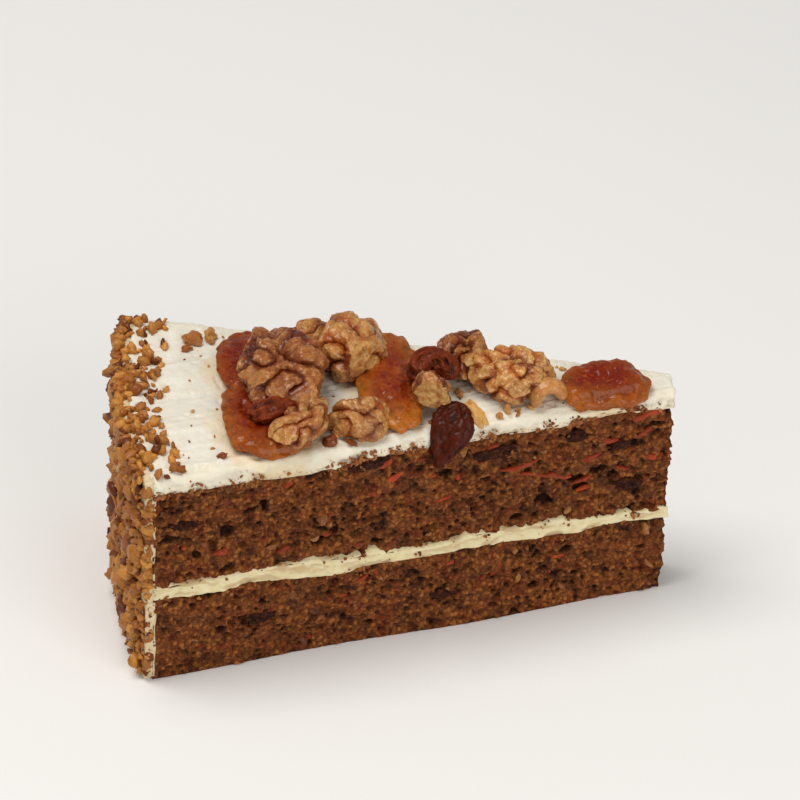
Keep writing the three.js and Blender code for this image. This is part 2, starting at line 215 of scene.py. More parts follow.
def layer_rings(
    low, high, path, steps, inner=TIP_RADIUS, outer=RIM_RADIUS, tip_rings=13, rim_rings=5, inset=None
):
    """Rings of points round a layer of the wedge, one ring for each radius from the middle of the cake. At
    both ends the rings shrink to the middle of the end face. Height runs from low to high, both functions of
    x and y. inset gives, for a share of the height, how far the cuts and the thin end stand back there."""
    growing = np.linspace(0, 1, tip_rings, endpoint=False)
    shrinking = np.linspace(1, 0, rim_rings + 1)[1:]
    size = np.concatenate([growing, np.ones(steps), shrinking])[:, None]
    radius = np.concatenate([0 * growing + inner, np.linspace(inner, outer, steps), 0 * shrinking + outer])
    across = 0.5 + (path[0] - 0.5) * size
    height = 0.5 + (path[1] - 0.5) * size
    turn = across * WEDGE_ANGLE
    x, y = in_plan(radius[:, None], turn)
    z = low(x, y) + (high(x, y) - low(x, y)) * height
    back = inset(height) if inset else 0 * height
    x = x - back * np.exp((inner - radius[:, None]) / 1.5)
    return join(x, y + (2 * across - 1) ** 9 * (wander(x, z) - back), z)


def outward(rings):
    """Unit directions out of a ringed surface: the cross product of the steps round it and along it."""
    along = np.gradient(rings, axis=0)
    around = np.roll(rings, -1, axis=1) - np.roll(rings, 1, axis=1)
    out = np.cross(around, along)
    out /= np.maximum(np.linalg.norm(out, axis=-1, keepdims=True), 1e-9)
    middle = rings.mean(axis=(0, 1))
    return out if ((rings - middle) * out).sum() > 0 else -out


def put_together(name, points, faces, values, smooth=True):
    """A mesh object from arrays: points in millimetres, arrays of faces with equal corners, named numbers."""
    mesh = bpy.data.meshes.new(name)
    corner_lists = np.concatenate([f.ravel() for f in faces]).astype(np.int32)
    sizes = np.concatenate([np.full(len(f), f.shape[1]) for f in faces])
    mesh.vertices.add(len(points))
    mesh.vertices.foreach_set("co", (points * MM).astype(np.float32).ravel())
    mesh.loops.add(len(corner_lists))
    mesh.loops.foreach_set("vertex_index", corner_lists)
    mesh.polygons.add(len(sizes))
    mesh.polygons.foreach_set("loop_start", (np.cumsum(sizes) - sizes).astype(np.int32))
    mesh.polygons.foreach_set("use_smooth", np.full(len(sizes), smooth))
    mesh.update(calc_edges=True)
    for key, numbers in values.items():
        mesh.attributes.new(key, "FLOAT", "POINT").data.foreach_set("value", numbers.astype(np.float32))
    mesh.validate()
    return add_object(name, mesh)


def ringed_piece(name, surfaces, values=None):
    """One piece of closed surfaces, each given as rings of points. Quads join neighbouring rings, a fan
    closes each end at its middle point, and a surface that would be inside out is turned."""
    values = values or {}
    points, quads, fans = [], [], []
    numbers = {key: [] for key in values}
    start = 0
    for number, rings in enumerate(surfaces):
        count, around = rings.shape[:2]
        ends = rings[[0, -1]].mean(axis=1)
        points.append(np.concatenate([ends[:1], rings[1:-1].reshape(-1, 3), ends[1:]]))
        index = start + 1 + np.arange((count - 2) * around).reshape(count - 2, around)
        beside = np.roll(index, -1, axis=1)
        strip = join(index[:-1], beside[:-1], beside[1:], index[1:]).reshape(-1, 4)
        first = join(np.full(around, start), beside[0], index[0])
        last = join(index[-1], beside[-1], np.full(around, index[-1, -1] + 1))
        local = points[-1][strip - start]
        volume = (np.cross(local[:, 0], local[:, 1]) * local[:, 2]).sum()
        volume += (np.cross(local[:, 0], local[:, 2]) * local[:, 3]).sum()
        if volume < 0:
            strip, first, last = strip[:, ::-1], first[:, ::-1], last[:, ::-1]
        quads.append(strip)
        fans += [first, last]
        for key, grids in values.items():
            grid = grids[number]
            numbers[key].append(np.concatenate([[grid[0].mean()], grid[1:-1].ravel(), [grid[-1].mean()]]))
        start += len(points[-1])
    faces = [np.concatenate(quads), np.concatenate(fans)]
    joined = {key: np.concatenate(parts) for key, parts in numbers.items()}
    return put_together(name, np.concatenate(points), faces, joined)


class Socket:
    """A value on its way through a material. Arithmetic on it adds the Math node that does the sum."""

    def __init__(self, tree, out):
        self.tree, self.out = tree, out

    def make(self, kind, settings, sockets, out=0):
        """Adds a node: its settings first, then a value or a link for each named or numbered input socket."""
        node = self.tree.nodes.new(kind)
        for key, value in settings.items():
            setattr(node, key, value)
        for key, value in sockets.items():
            if isinstance(value, Socket):
                self.tree.links.new(node.inputs[key], value.out)
            else:
                node.inputs[key].default_value = value
        return Socket(self.tree, node.outputs[out] if node.outputs else None)

    def _sum(self, operation, a, b, clamp=False):
        return self.make("ShaderNodeMath", {"operation": operation, "use_clamp": clamp}, {0: a, 1: b})

    def __add__(self, other):
        return self._sum("ADD", self, other)

    def __radd__(self, other):
        return self._sum("ADD", other, self)

    def __sub__(self, other):
        return self._sum("SUBTRACT", self, other)

    def __rsub__(self, other):
        return self._sum("SUBTRACT", other, self)

    def __mul__(self, other):
        return self._sum("MULTIPLY", self, other)

    def __rmul__(self, other):
        return self._sum("MULTIPLY", other, self)

    def between(self, low, high):
        """0 below low, 1 above high, rising evenly between."""
        return self._sum("MULTIPLY", self - low, 1.0 / (high - low), clamp=True)

    def blend(self, a, b):
        """Colour a where this value is 0 and colour b where it is 1, each a socket or a tone's numbers."""
        a, b = (colour if isinstance(colour, Socket) else tone(*colour) for colour in (a, b))
        return self.make("ShaderNodeMix", {"data_type": "RGBA"}, {0: self, 6: a, 7: b}, out=2)

    def noise(self, scale, detail=3.0, roughness=0.5):
        """Noise over this place, with scale features to a millimetre."""
        sockets = {"Vector": self, "Scale": scale, "Detail": detail, "Roughness": roughness}
        return self.make("ShaderNodeTexNoise", {}, sockets)

    def make_grey(self):
        """A colour's brightness as a value."""
        return self.make("ShaderNodeRGBToBW", {}, {"Color": self})

    def number(self, name):
        """The named number that the mesh carries at each point."""
        return self.make("ShaderNodeAttribute", {"attribute_name": name}, {}, out="Fac")


def tone(red, green, blue):
    """A colour given from 0 to 255, as the shader's own linear numbers."""
    linear = [((v / 255 + 0.055) / 1.055) ** 2.4 if v > 10 else v / 255 / 12.92 for v in (red, green, blue)]
    return (*linear, 1.0)


def new_finish(name):
    """An empty material, and the place in millimetres that its patterns read."""
    finish = bpy.data.materials.new(name)
    finish.use_nodes = True
    finish.node_tree.nodes.clear()
    start = Socket(finish.node_tree, None)
    coordinates = start.make("ShaderNodeTexCoord", {}, {}, out="Object")
    place = start.make("ShaderNodeMapping", {}, {"Vector": coordinates, "Scale": (1 / MM, 1 / MM, 1 / MM)})
    return finish, place


def surface(place, colour, roughness, relief, depth, specular=0.5, coat=(), glow=()):
    """The finish's Principled shader. relief is a value whose steps stand up by depth millimetres, coat
    the weight and roughness of a glaze, and glow the share of light that goes in, its reach by colour and
    the scale of that."""
    bump = {"Height": relief, "Strength": 1.0, "Distance": depth * MM}
    normal = place.make("ShaderNodeBump", {}, bump)
    sockets = {"Base Color": colour, "Roughness": roughness, "Normal": normal, "Specular IOR Level": specular}
    sockets.update(zip(("Coat Weight", "Coat Roughness"), coat))
    sockets.update(zip(("Subsurface Weight", "Subsurface Radius", "Subsurface Scale"), glow))
    shade = place.make("ShaderNodeBsdfPrincipled", {}, sockets)
    place.make("ShaderNodeOutputMaterial", {}, {"Surface": shade})


def serve(piece, finish, slot, *nodes):
    """Gives a piece its finish, hides the CAD nodes that it stands for, and sets it on the slice. slot is not
    used.
    """
    piece.data.materials.append(finish)
    if nodes:
        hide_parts(*nodes)
    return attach(piece, "root")


def crumb_finish():
    """Moist brown crumb: each grain its own brown, paler with a painted highlight where the fine bumps rise,
    painted shade between the grains and down in the holes, and rough.
    """
    finish, place = new_finish("sponge_crumb")
    hollow_shade = place.number("hollow_shade")
    cells = {"Vector": place, "Scale": 1.15, "Randomness": 1.0}
    grains = place.make("ShaderNodeTexVoronoi", {}, cells, out="Distance")
    each = place.make("ShaderNodeTexVoronoi", {}, cells, out="Color").make_grey()
    fine = place.noise(2.2, 5.0, 0.7)
    patches = place.noise(0.3, 3.0)
    # Paler where each grain's own random tone is high, and where the fine noise that also raises the bump is
    # high: a painted highlight.
    paleness_and_highlight = each * 0.75 + fine.between(0.38, 0.68) * 0.6 - 0.15
    base = paleness_and_highlight.between(0.0, 1.0).blend(CRUMB_BROWN, CRUMB_PALE_AND_HIGHLIGHT)
    base = (patches.between(0.5, 0.66) * 0.5).blend(base, CRUMB_RUST)
    base = ((1 - patches.between(0.34, 0.47)) * 0.6).blend(base, (72, 32, 13))
    base = (each.between(0.66, 0.8) * 0.45).blend(base, (196, 126, 60))
    # Painted shade between the grains, where their cells meet and the bump sinks.
    base = (grains.between(0.4, 0.8) * 0.55).blend(base, (58, 24, 8))
    # Painted shade: the crumb goes to its darkest colour down in the hollows, holes and pores.
    colour = (hollow_shade * 1.1).between(0.0, 1.0).blend(base, CRUMB_HOLLOW_SHADE)
    surface(place, colour, 0.6 + 0.3 * fine, fine * 0.7 - grains, 0.5, specular=0.2)
    return finish


FRONT_HOLES = [  # those larger than the rest: x and height of the middle, width and height of the hole
    (-40.4, 36.6, 3.4, 3.6), (-32.2, 41.9, 1.9, 3.6), (-20.1, 30.3, 3.4, 2.6), (39.8, 35.1, 4.4, 1.7),
    (44.8, 36.4, 4.0, 2.0), (48.6, 34.6, 2.8, 2.2), (33.4, 29.4, 3.6, 2.4), (-47.5, 32.0, 2.2, 1.8),
]
HOLES_DRAWN = 170
DEEPEST_HOLE = 1.9


def hole_list(seed, count):
    """Middles and half sizes of air holes on both cuts: the named ones, then drawn ones, lying lengthwise."""
    draw = np.random.default_rng(seed)
    x, z, wide, tall = np.array(FRONT_HOLES).T
    named = join(x, 0 * x + FRONT_Y, z)
    named_half = join(wide / 2, 0 * x + DEEPEST_HOLE, tall / 2)
    radius = draw.uniform(*ALONG_CUT, count)
    turn = WEDGE_ANGLE * draw.integers(0, 2, count)
    middle = join(*in_plan(radius, turn), draw.uniform(2, 49, count))
    width = 0.5 + 1.3 * draw.random(count) ** 2.5
    half = join(width * 1.3, width * 1.1, width * draw.uniform(0.45, 0.9, count))
    return np.concatenate([named, middle]), np.concatenate([named_half, half])


def hole_depth(p, seed, count):
    """How deep the air holes reach below each point: half an ellipsoid for each hole, the deepest counts."""
    depth = np.zeros(p.shape[:-1])
    for middle, half in zip(*hole_list(seed, count)):
        inside = 1 - (((p - middle) / half) ** 2).sum(-1)
        depth = np.maximum(depth, np.sqrt(np.clip(inside, 0, 1)) * min(DEEPEST_HOLE, 1.7 * half[1]))
    return depth


def crumb_relief(p, seed):
    """Height of the crumb, and the painted shade that darkens its hollows: clods, coarse and fine grains
    rounded by their distance noise, on slow swells, less torn hollows where layered noise is high, less small
    pores and air holes."""
    bent = p + 1.4 * (join(*(soft_noise(p / 3, seed + k) for k in (31, 32, 33))) - 0.5)
    clods = grain_distance(bent / 5.0, seed + 3)
    coarse = grain_distance(bent / 2.3, seed + 1)
    fine = grain_distance(bent / 1.05, seed + 5)
    swell = layered_noise(p / 8, seed + 9, 2) - 0.5
    torn = smooth_step(0.55, 0.70, layered_noise(bent / np.array([2.7, 2.7, 1.7]), seed + 13))
    holes = hole_depth(p + 0.8 * (bent - p), seed + 17, HOLES_DRAWN)
    open_here = smooth_step(0.35, 0.65, layered_noise(p / 7, seed + 27, 2))
    to_pore = grain_distance(bent / np.array([2.2, 2.2, 1.7]), seed + 21)
    pores = (1 - smooth_step(0.14, 0.38, to_pore)) * (0.3 + 0.9 * open_here)
    height = 1.1 * (0.55 - clods) + 0.95 * (0.5 - coarse) + 0.6 * (0.5 - fine) + 0.7 * swell
    height = height - 0.8 * torn - holes - 0.8 * pores
    # How much painted shade the crumb's colour gets: most in torn hollows, air holes and pores, some at grain
    # edges.
    hollow_shade = 0.45 * torn + 0.9 * smooth_step(0.2, 1.0, holes) + 0.6 * smooth_step(0.5, 0.95, coarse)
    hollow_shade += 0.8 * pores
    hollow_shade += 0.5 * smooth_step(0.5, 0.9, fine) + 0.35 * smooth_step(0.6, 0.95, clods) - 0.15
    return height, np.clip(hollow_shade, 0, 1)


def sponge_piece(name, low, high, rows, seed):
    """A sponge layer: the wedge's rings pushed in and out by the crumb's relief on the cuts, and hardly at
    all above and below."""
    steps = round((RIM_RADIUS - TIP_RADIUS) / CRUMB_STEP)
    rings = layer_rings(low, high, section_path(rows, 14, 22), steps)
    out = outward(rings)
    on_cut = 1 - smooth_step(0.35, 0.9, np.abs(out[..., 2:]))
    behind_coat = smooth_step(0.5, 0.9, -out[..., :1])
    height, hollow_shade = crumb_relief(rings, seed)
    share = 0.12 + 0.88 * on_cut * (1 - behind_coat)
    rings = rings + out * (height[..., None] - 0.12) * share
    rings[..., 2] = np.maximum(rings[..., 2], 0)
    # The painted shade of the hollows goes with the mesh, weaker off the cuts.
    return ringed_piece(name, [rings], {"hollow_shade": [hollow_shade * (0.4 + 0.6 * on_cut[..., 0])]})


crumb = crumb_finish()
bottom_sponge = sponge_piece(
    "bottom_sponge_crumb",
    lambda x, y: 0 * x,
    lambda x, y: cream_bottom(x, y) + TUCK,
    round(21 / CRUMB_STEP),
    100,
)
serve(bottom_sponge, crumb, "sponge", "bottom_sponge")

# Cream filling: soft ivory cream cheese spread between the layers. The knife dragged it, so that it bulges in
# places, is smeared thin in others, and climbs into the sponge above at a few peaks along the front cut.
CREAM_TOP = (25.8, 23.2)
CREAM_PEAKS = [(-7.2, 2.0, 2.2), (14.2, 1.6, 1.3), (-21.0, 0.9, 2.6), (37.0, 0.9, 2.0), (52.0, 0.8, 1.6)]
CREAM_REACH = 1.0  # into the crumb above and below


def cream_top(x, y):
    """The slope with two sine waves, the second mostly across the slice."""
    return level(x, CREAM_TOP) + 0.55 * np.sin(x / 10 - 1.2) + 0.35 * np.sin(y / 6.5 + x / 14)


def peaks(x, y):
    """Bell-shaped rises of the cream near the front cut, fading within 3 mm behind it."""
    rise = sum(high * np.exp(-(((x - place) / wide) ** 2)) for place, high, wide in CREAM_PEAKS)
    return rise * np.exp(-(((y - FRONT_Y) / 3.0) ** 2))


def cream_finish():
    """Ivory cream: yellower where it is thin, satin, with faint streaks that the knife left."""
    finish, place = new_finish("cream_filling")
    streaked = place.make("ShaderNodeMapping", {}, {"Vector": place, "Scale": (0.25, 0.25, 1.6)})
    streaks = streaked.noise(0.8, 3.0)
    colour = place.noise(0.5, 3.0).between(0.35, 0.7).blend((230, 214, 164), (238, 226, 186))
    colour = (place.number("smear") * 0.75).blend(colour, (170, 118, 66))
    surface(place, colour, 0.42 + 0.15 * streaks, streaks, 0.25, glow=(0.2, (0.6, 0.4, 0.2), 0.002))
    return finish


def cream_piece():
    """The cream's rings: its cut face stands out by noise in its middle and falls back towards its edges,
    so that its border with the crumb is ragged."""
    path = section_path(round(8 / CRUMB_STEP), 12, 12)

    def low(x, y):
        return cream_bottom(x, y) - CREAM_REACH

    def high(x, y):
        return cream_top(x, y) + CREAM_REACH + peaks(x, y)

    def inset(height):
        return 2.2 * (1 - smooth_step(0.0, 0.24, np.minimum(height, 1 - height)))

    rings = layer_rings(low, high, path, round((RIM_RADIUS - TIP_RADIUS) / 0.4), inset=inset)
    out = outward(rings)
    floor_there, top_there = low(rings[..., 0], rings[..., 1]), high(rings[..., 0], rings[..., 1])
    middle = 1 - np.abs(2 * (rings[..., 2] - floor_there) / (top_there - floor_there) - 1)
    ragged = layered_noise(rings / np.array([2.6, 2.6, 1.5]), 301) - 0.5
    bulge = layered_noise(rings / 6.0, 311, 2) - 0.5
    smear = smooth_step(0.5, 0.66, layered_noise(rings / np.array([4.0, 4.0, 1.2]), 321))
    rise = 0.4 + 1.9 * ragged + 1.1 * bulge - 0.25 * smear
    behind_coat = smooth_step(0.5, 0.9, -out[..., 0])
    rings = rings + out * (rise * (1 - behind_coat))[..., None] * (1 - np.abs(out[..., 2:]))
    return ringed_piece("cream_filling_spread", [rings], {"smear": [smear * (1 - middle * 0.6)]})


serve(cream_piece(), cream_finish(), "cream", "cream_filling")

# Top sponge: the upper layer, from the same batter as the lower one, laid on the cream.
SPONGE_TOP = (48.9, 50.8)


def sponge_top(x, y):
    """The slope with two sine waves, where the frosting sank into the baked top."""
    return level(x, SPONGE_TOP) + 0.7 * np.sin(x / 7.8 + 2.1) + 0.45 * np.sin(x / 4.5 + y / 8.3)


top_sponge = sponge_piece(
    "top_sponge_crumb",
    lambda x, y: cream_top(x, y) - TUCK,
    lambda x, y: sponge_top(x, y) + TUCK,
    round(26 / CRUMB_STEP),
    200,
)
serve(top_sponge, crumb, "sponge", "top_sponge")

# Carrot, raisins and nuts in the batter: grated carrot as thin bent shreds, whole raisins flattened by the
# bake and bits of walnut, all cut through or standing a little out of both cuts.
SHREDS = [  # on the front cut: x, height, length, tilt in degrees
    (25.7, 40.7, 9.5, 8), (28.5, 38.6, 6.0, -12), (34.4, 37.2, 5.5, -20), (20.0, 47.6, 3.4, 10),
    (-3.1, 43.5, 4.2, 25), (-7.8, 40.9, 3.0, -40), (-41.5, 31.4, 3.2, 15), (-27.9, 29.3, 3.6, 30),
    (-10.9, 27.6, 3.0, 5), (57.2, 49.8, 6.0, 6), (54.5, 49.0, 4.4, 18), (47.0, 44.2, 4.6, -10),
    (8.5, 36.0, 3.6, 12), (42.6, 40.4, 5.0, 14),
]
SUNK_RAISINS = [  # on the front cut: x, height, length, thickness
    (-9.0, 48.9, 9.6, 4.2), (21.0, 45.6, 11.0, 3.8), (39.5, 46.9, 6.0, 3.0), (52.0, 31.4, 8.6, 3.6),
    (49.6, 42.8, 6.4, 2.4), (-50.0, 40.5, 7.0, 3.2), (-33.0, 12.0, 8.5, 4.0), (10.0, 9.5, 7.5, 3.4),
]
SHREDS_DRAWN = 75
RAISINS_DRAWN = 15
NUTS_DRAWN = 90


def cut_place(radius, height, back_cut, out):
    """Points on the front cut or the back cut, moved out of it by a distance, for a radius and a height."""
    turn = WEDGE_ANGLE * back_cut
    x = CENTRE_X - radius * np.cos(turn) + out * np.sin(turn)
    y = FRONT_Y + radius * np.sin(turn) + out * np.where(back_cut, np.cos(turn), -1.0)
    return join(x, y + np.where(back_cut, 1, -1) * wander(x, height), height)


def ball_rings(count, around):
    """Rings of a unit ball from pole to pole along x."""
    lean = np.linspace(0, np.pi, count)[:, None]
    turn = np.linspace(0, 2 * np.pi, around, endpoint=False)[None, :]
    x = -np.cos(lean) + 0 * turn
    return join(x, np.sin(lean) * np.cos(turn), np.sin(lean) * np.sin(turn))


def along_cut(rings, radius, height, back_cut, out, tilt):
    """Lays a shape worked out about its own middle (x along the cut, y out of it, z up) onto a cut."""
    c, s = math.cos(tilt), math.sin(tilt)
    along = rings[..., 0] * c - rings[..., 2] * s
    up = rings[..., 0] * s + rings[..., 2] * c
    return cut_place(radius - along, height + up, np.full(along.shape, back_cut), out + rings[..., 1])


def clear_of_cream(x, height):
    """Whether a height is well inside a sponge layer."""
    low, high = level(x, CREAM_BOTTOM), level(x, CREAM_TOP)
    return (height < low - 2.0) | (height > high + 2.0)


def shred_piece():
    """Shreds of carrot: each a flattened ball drawn out long and bent along an arc, kinked by noise."""
    draw = np.random.default_rng(41)
    base = ball_rings(13, 8)
    rows = [(CENTRE_X - x, z, False, length, math.radians(tilt)) for x, z, length, tilt in SHREDS]
    for _ in range(SHREDS_DRAWN):
        radius, z = draw.uniform(*ALONG_CUT), draw.uniform(1.5, 48.5)
        if clear_of_cream(CENTRE_X - radius, z):
            rows.append((radius, z, draw.random() < 0.5, draw.uniform(1.4, 5.0), draw.normal(0, 0.45)))
    surfaces, tints = [], []
    for number, (radius, z, back_cut, length, tilt) in enumerate(rows):
        wide, thick, bend = draw.uniform(0.9, 1.8), draw.uniform(0.5, 0.9), draw.uniform(-0.25, 0.25)
        shape = base * np.array([length / 2, thick, wide / 2])
        shape[..., 2] += bend * length * (shape[..., 0] / length) ** 2 * 2
        kink = soft_noise(shape / 0.8 + number * 7.0, 43) - 0.5
        shape = shape * (1 + 0.7 * kink[..., None])
        out = draw.uniform(-1.0, -0.45) if number >= len(SHREDS) else -0.3
        surfaces.append(along_cut(shape, radius, z, back_cut, out, tilt))
        tints.append(np.full(shape.shape[:2], draw.random()))
    return ringed_piece("carrot_shreds", surfaces, {"tint": tints})


def carrot_finish():
    """Cooked carrot: red-orange to rusty brown, moist and slightly see-through."""
    finish, place = new_finish("cooked_carrot")
    colour = place.number("tint").blend((184, 66, 22), (128, 46, 16))
    colour = (place.noise(1.2, 2.0).between(0.45, 0.75) * 0.7).blend(colour, (104, 42, 16))
    surface(place, colour, 0.45, place.noise(2.5, 3.0), 0.25, specular=0.25)
    return finish


def wrinkles(p, scale, seed):
    """Sharp-edged folds: 1 on the ridges where soft noise crosses its middle value, less between them."""
    return 1 - np.abs(2 * layered_noise(p / scale, seed, 3) - 1) * 2.4


def sunk_raisin_piece():
    """Raisins in the crumb: balls pressed flat and long, wrinkled by ridged noise, half sunk in the cut."""
    draw = np.random.default_rng(51)
    base = ball_rings(34, 26)
    rows = [(CENTRE_X - x, z, False, length, thick) for x, z, length, thick in SUNK_RAISINS]
    for _ in range(RAISINS_DRAWN):
        radius, z = draw.uniform(TIP_RADIUS + 6, RIM_RADIUS - 7), draw.uniform(4, 46)
        if clear_of_cream(CENTRE_X - radius, z + 1) and clear_of_cream(CENTRE_X - radius, z - 1):
            rows.append((radius, z, True, draw.uniform(6, 10), draw.uniform(2.6, 4.2)))
    surfaces = []
    for number, (radius, z, back_cut, length, thick) in enumerate(rows):
        shape = base * np.array([length / 2, 1.7, thick / 2])
        fold = wrinkles(shape / np.array([1.9, 0.8, 0.7]) + number * 9.0, 1.2, 53)
        shape = shape * (0.84 + 0.34 * fold[..., None])
        surfaces.append(along_cut(shape, radius, z, back_cut, -1.05, draw.normal(0, 0.12)))
    return ringed_piece("sunk_raisins", surfaces)


def sunk_raisin_finish():
    """Baked raisin: almost black with a purple cast, and a soft sheen."""
    finish, place = new_finish("baked_raisin")
    colour = place.noise(0.8, 3.0).between(0.35, 0.7).blend((34, 14, 9), (70, 36, 24))
    colour = (place.noise(1.3, 4.0, 0.65).between(0.52, 0.66) * 0.8).blend(colour, (98, 54, 26))
    surface(place, colour, 0.6, place.noise(1.8, 4.0), 0.4, specular=0.08)
    return finish


def spin_each(draw, count):
    """A random turn for each of count pieces, as rotation matrices from unit quaternions."""
    q = draw.normal(size=(count, 4))
    w, x, y, z = (q / np.linalg.norm(q, axis=1, keepdims=True)).T
    rows = [
        [1 - 2 * (y * y + z * z), 2 * (x * y - w * z), 2 * (x * z + w * y)],
        [2 * (x * y + w * z), 1 - 2 * (x * x + z * z), 2 * (y * z - w * x)],
        [2 * (x * z - w * y), 2 * (y * z + w * x), 1 - 2 * (x * x + y * y)],
    ]
    return np.moveaxis(np.array(rows), -1, 0)


def chunk_piece(name, middles, widths, seed, around=7, count=6, tints=None, smooth=False):
    """Many broken bits as one mesh: a coarse ball for each, every corner moved in or out by its own draw,
    then squashed, turned at random, scaled to its width and set at its middle. Tints are drawn unless
    given."""
    draw = np.random.default_rng(seed)
    ball = ball_rings(count, around)
    points = np.concatenate([ball[0, :1], ball[1:-1].reshape(-1, 3), ball[-1, :1]])
    index = 1 + np.arange((count - 2) * around).reshape(count - 2, around)
    beside = np.roll(index, -1, axis=1)
    quads = join(index[:-1], index[1:], beside[1:], beside[:-1]).reshape(-1, 4)
    first = join(np.zeros(around, int), index[0], beside[0])
    last = join(index[-1], np.full(around, len(points) - 1), beside[-1])
    number = len(middles)
    shapes = points[None] * draw.uniform(0.62, 1.2, (number, len(points), 1))
    shapes = shapes * draw.uniform([0.75, 0.6, 0.42], [1.25, 1.0, 0.8], (number, 3))[:, None]
    shapes = np.einsum("nij,nvj->nvi", spin_each(draw, number), shapes) * (widths / 2)[:, None, None]
    shapes = shapes + middles[:, None]
    offsets = (np.arange(number) * len(points))[:, None, None]
    fans = np.concatenate([first, last])
    faces = [(f[None] + offsets).reshape(-1, f.shape[1]) for f in (quads, fans)]
    tint = np.repeat(draw.random(number) if tints is None else tints, len(points))
    return put_together(name, shapes.reshape(-1, 3), faces, {"tint": tint}, smooth)


def nut_finish(name, skin, flesh, dark):
    """Nut bits: each its own tone between brown skin and pale flesh, mottled, and some browned darker."""
    finish, place = new_finish(name)
    tint = place.number("tint")
    mottled = place.noise(0.9, 3.0)
    bare = tint.between(0.1, 0.95) * 0.8 + mottled * 0.35 - 0.15
    colour = bare.between(0.0, 1.0).blend(skin, flesh)
    browned = mottled.between(0.55, 0.75) * 0.5 + (1 - tint.between(0.1, 0.2)) * 0.7
    colour = browned.between(0.0, 1.0).blend(colour, dark)
    surface(
        place, colour, 0.36 + 0.2 * mottled, place.noise(2.6, 3.0), 0.14,
        specular=0.15, coat=(0.25, 0.1), glow=(0.2, (1.0, 0.4, 0.12), 0.0012),
    )
    return finish


serve(shred_piece(), carrot_finish(), "sponge")
serve(sunk_raisin_piece(), sunk_raisin_finish(), "raisin")
draw = np.random.default_rng(61)
nut_radius = draw.uniform(*ALONG_CUT, NUTS_DRAWN)
nut_height = draw.uniform(2, 48, NUTS_DRAWN)
inside = clear_of_cream(CENTRE_X - nut_radius, nut_height)
on_back = draw.random(NUTS_DRAWN) < 0.5
nut_places = cut_place(nut_radius, nut_height, on_back, draw.uniform(-0.7, -0.1, NUTS_DRAWN))[inside]
nut_widths = draw.uniform(1.2, 3.2, NUTS_DRAWN)[inside]
sunk_nuts = chunk_piece("sunk_nuts", nut_places, nut_widths, 62)
serve(sunk_nuts, nut_finish("baked_nut", (120, 66, 32), (178, 122, 68), (70, 34, 14)), "walnut_kernel")

# Frosting: white cream cheese frosting, spread over the top with a spatula that left long low ridges. The
# knife dragged its cut edges down round and picked up crumbs, and syrup from the fruit stains it.
FROSTING_TOP = (54.9, 54.7)
EDGE_DROP = 2.2
EDGE_ROUND = 3.3
FROSTING_REACH = 1.2  # into the crumb below
APRICOT_STAINS = [  # x, y, reach
    (-24.2, 3.2, 12.5), (-28.4, -17.0, 13.0), (1.8, -11.3, 11.0), (46.8, -23.9, 9.0),
]


def frosting_level(x, y):
    """The slope with ridges: a sine across the slice that wavers along it, and one long swell."""
    ridges = 0.4 * np.sin(y / 3.1 + 0.8 * np.sin(x / 19))
    return level(x, FROSTING_TOP) + ridges + 0.3 * np.sin(x / 11 + y / 17)


def distance_to_cut(x, y):
    """Distance in plan to the nearer cut."""
    from_front = y - FRONT_Y
    from_back = (CENTRE_X - x) * math.sin(WEDGE_ANGLE) - from_front * math.cos(WEDGE_ANGLE)
    return np.minimum(from_front, from_back)


def frosting_top(x, y):
    """The level less the rounding of its edges, a quarter of an ellipse."""
    inwards = 1 - np.clip(distance_to_cut(x, y) / EDGE_ROUND, 0, 1)
    return frosting_level(x, y) - EDGE_DROP * (1 - np.sqrt(1 - inwards * inwards))


def frosting_piece():
    """The frosting's rings. Its top carries spatula streaks, soft lumps and small pits from noise stretched
    along the slice, and its cut faces bulge and fall back at the lower edge like the cream's."""
    path = section_path(18, 168, 10)
    steps = round((RIM_RADIUS - TIP_RADIUS) / 0.36)

    def low(x, y):
        return sponge_top(x, y) - FROSTING_REACH

    def inset(height):
        return 2.2 * (1 - smooth_step(0.0, 0.38, height))

    rings = layer_rings(low, frosting_top, path, steps, tip_rings=10, inset=inset)
    out = outward(rings)
    x, y, z = np.moveaxis(rings, -1, 0)
    upper = smooth_step(0.3, 0.9, out[..., 2])
    flat = join(x / 15.0, y / 1.5, 0 * z)
    streaks = layered_noise(flat, 401, 3) - 0.5
    lumps = layered_noise(rings / 4.2, 411, 3) - 0.5
    grain = layered_noise(rings / 1.2, 421, 2) - 0.5
    pits = smooth_step(0.70, 0.80, layered_noise(rings / 1.7, 431, 2))
    near_edge = 1 - smooth_step(0.0, 5.0, distance_to_cut(x, y))
    rise = 0.62 * streaks + (0.5 + 0.9 * near_edge) * lumps + 0.24 * grain - 0.35 * pits
    share = np.clip((z - low(x, y)) / (frosting_top(x, y) - low(x, y)), 0, 1)
    on_cut = (1 - np.abs(out[..., 2])) * (1 - smooth_step(0.5, 0.9, -out[..., 0]))
    ragged = layered_noise(rings / np.array([2.8, 2.8, 1.7]), 441) - 0.5
    rings = rings + out * (upper * rise + on_cut * (0.25 + 2.5 * ragged))[..., None]
    stain = np.zeros(x.shape)
    for stain_x, stain_y, reach in APRICOT_STAINS:
        away = np.hypot(x - stain_x, y - stain_y) + 6.0 * lumps
        stain = np.maximum(stain, 1 - smooth_step(reach - 2.0, reach + 1.5, away))
    dragged = 2.2 * (layered_noise(rings / np.array([7.0, 7.0, 4.0]), 451) - 0.58)
    crumbs = on_cut * (1 - smooth_step(0.15, 0.7, share + 0.7 * ragged - np.maximum(dragged, 0)))
    values = {
        "stain": [stain],
        "crumbed": [np.clip(crumbs, 0, 1)],
        "low_down": [np.maximum(on_cut * (1 - share), 0.2 * near_edge)],
    }
    return ringed_piece("frosting_spread", [rings], values)


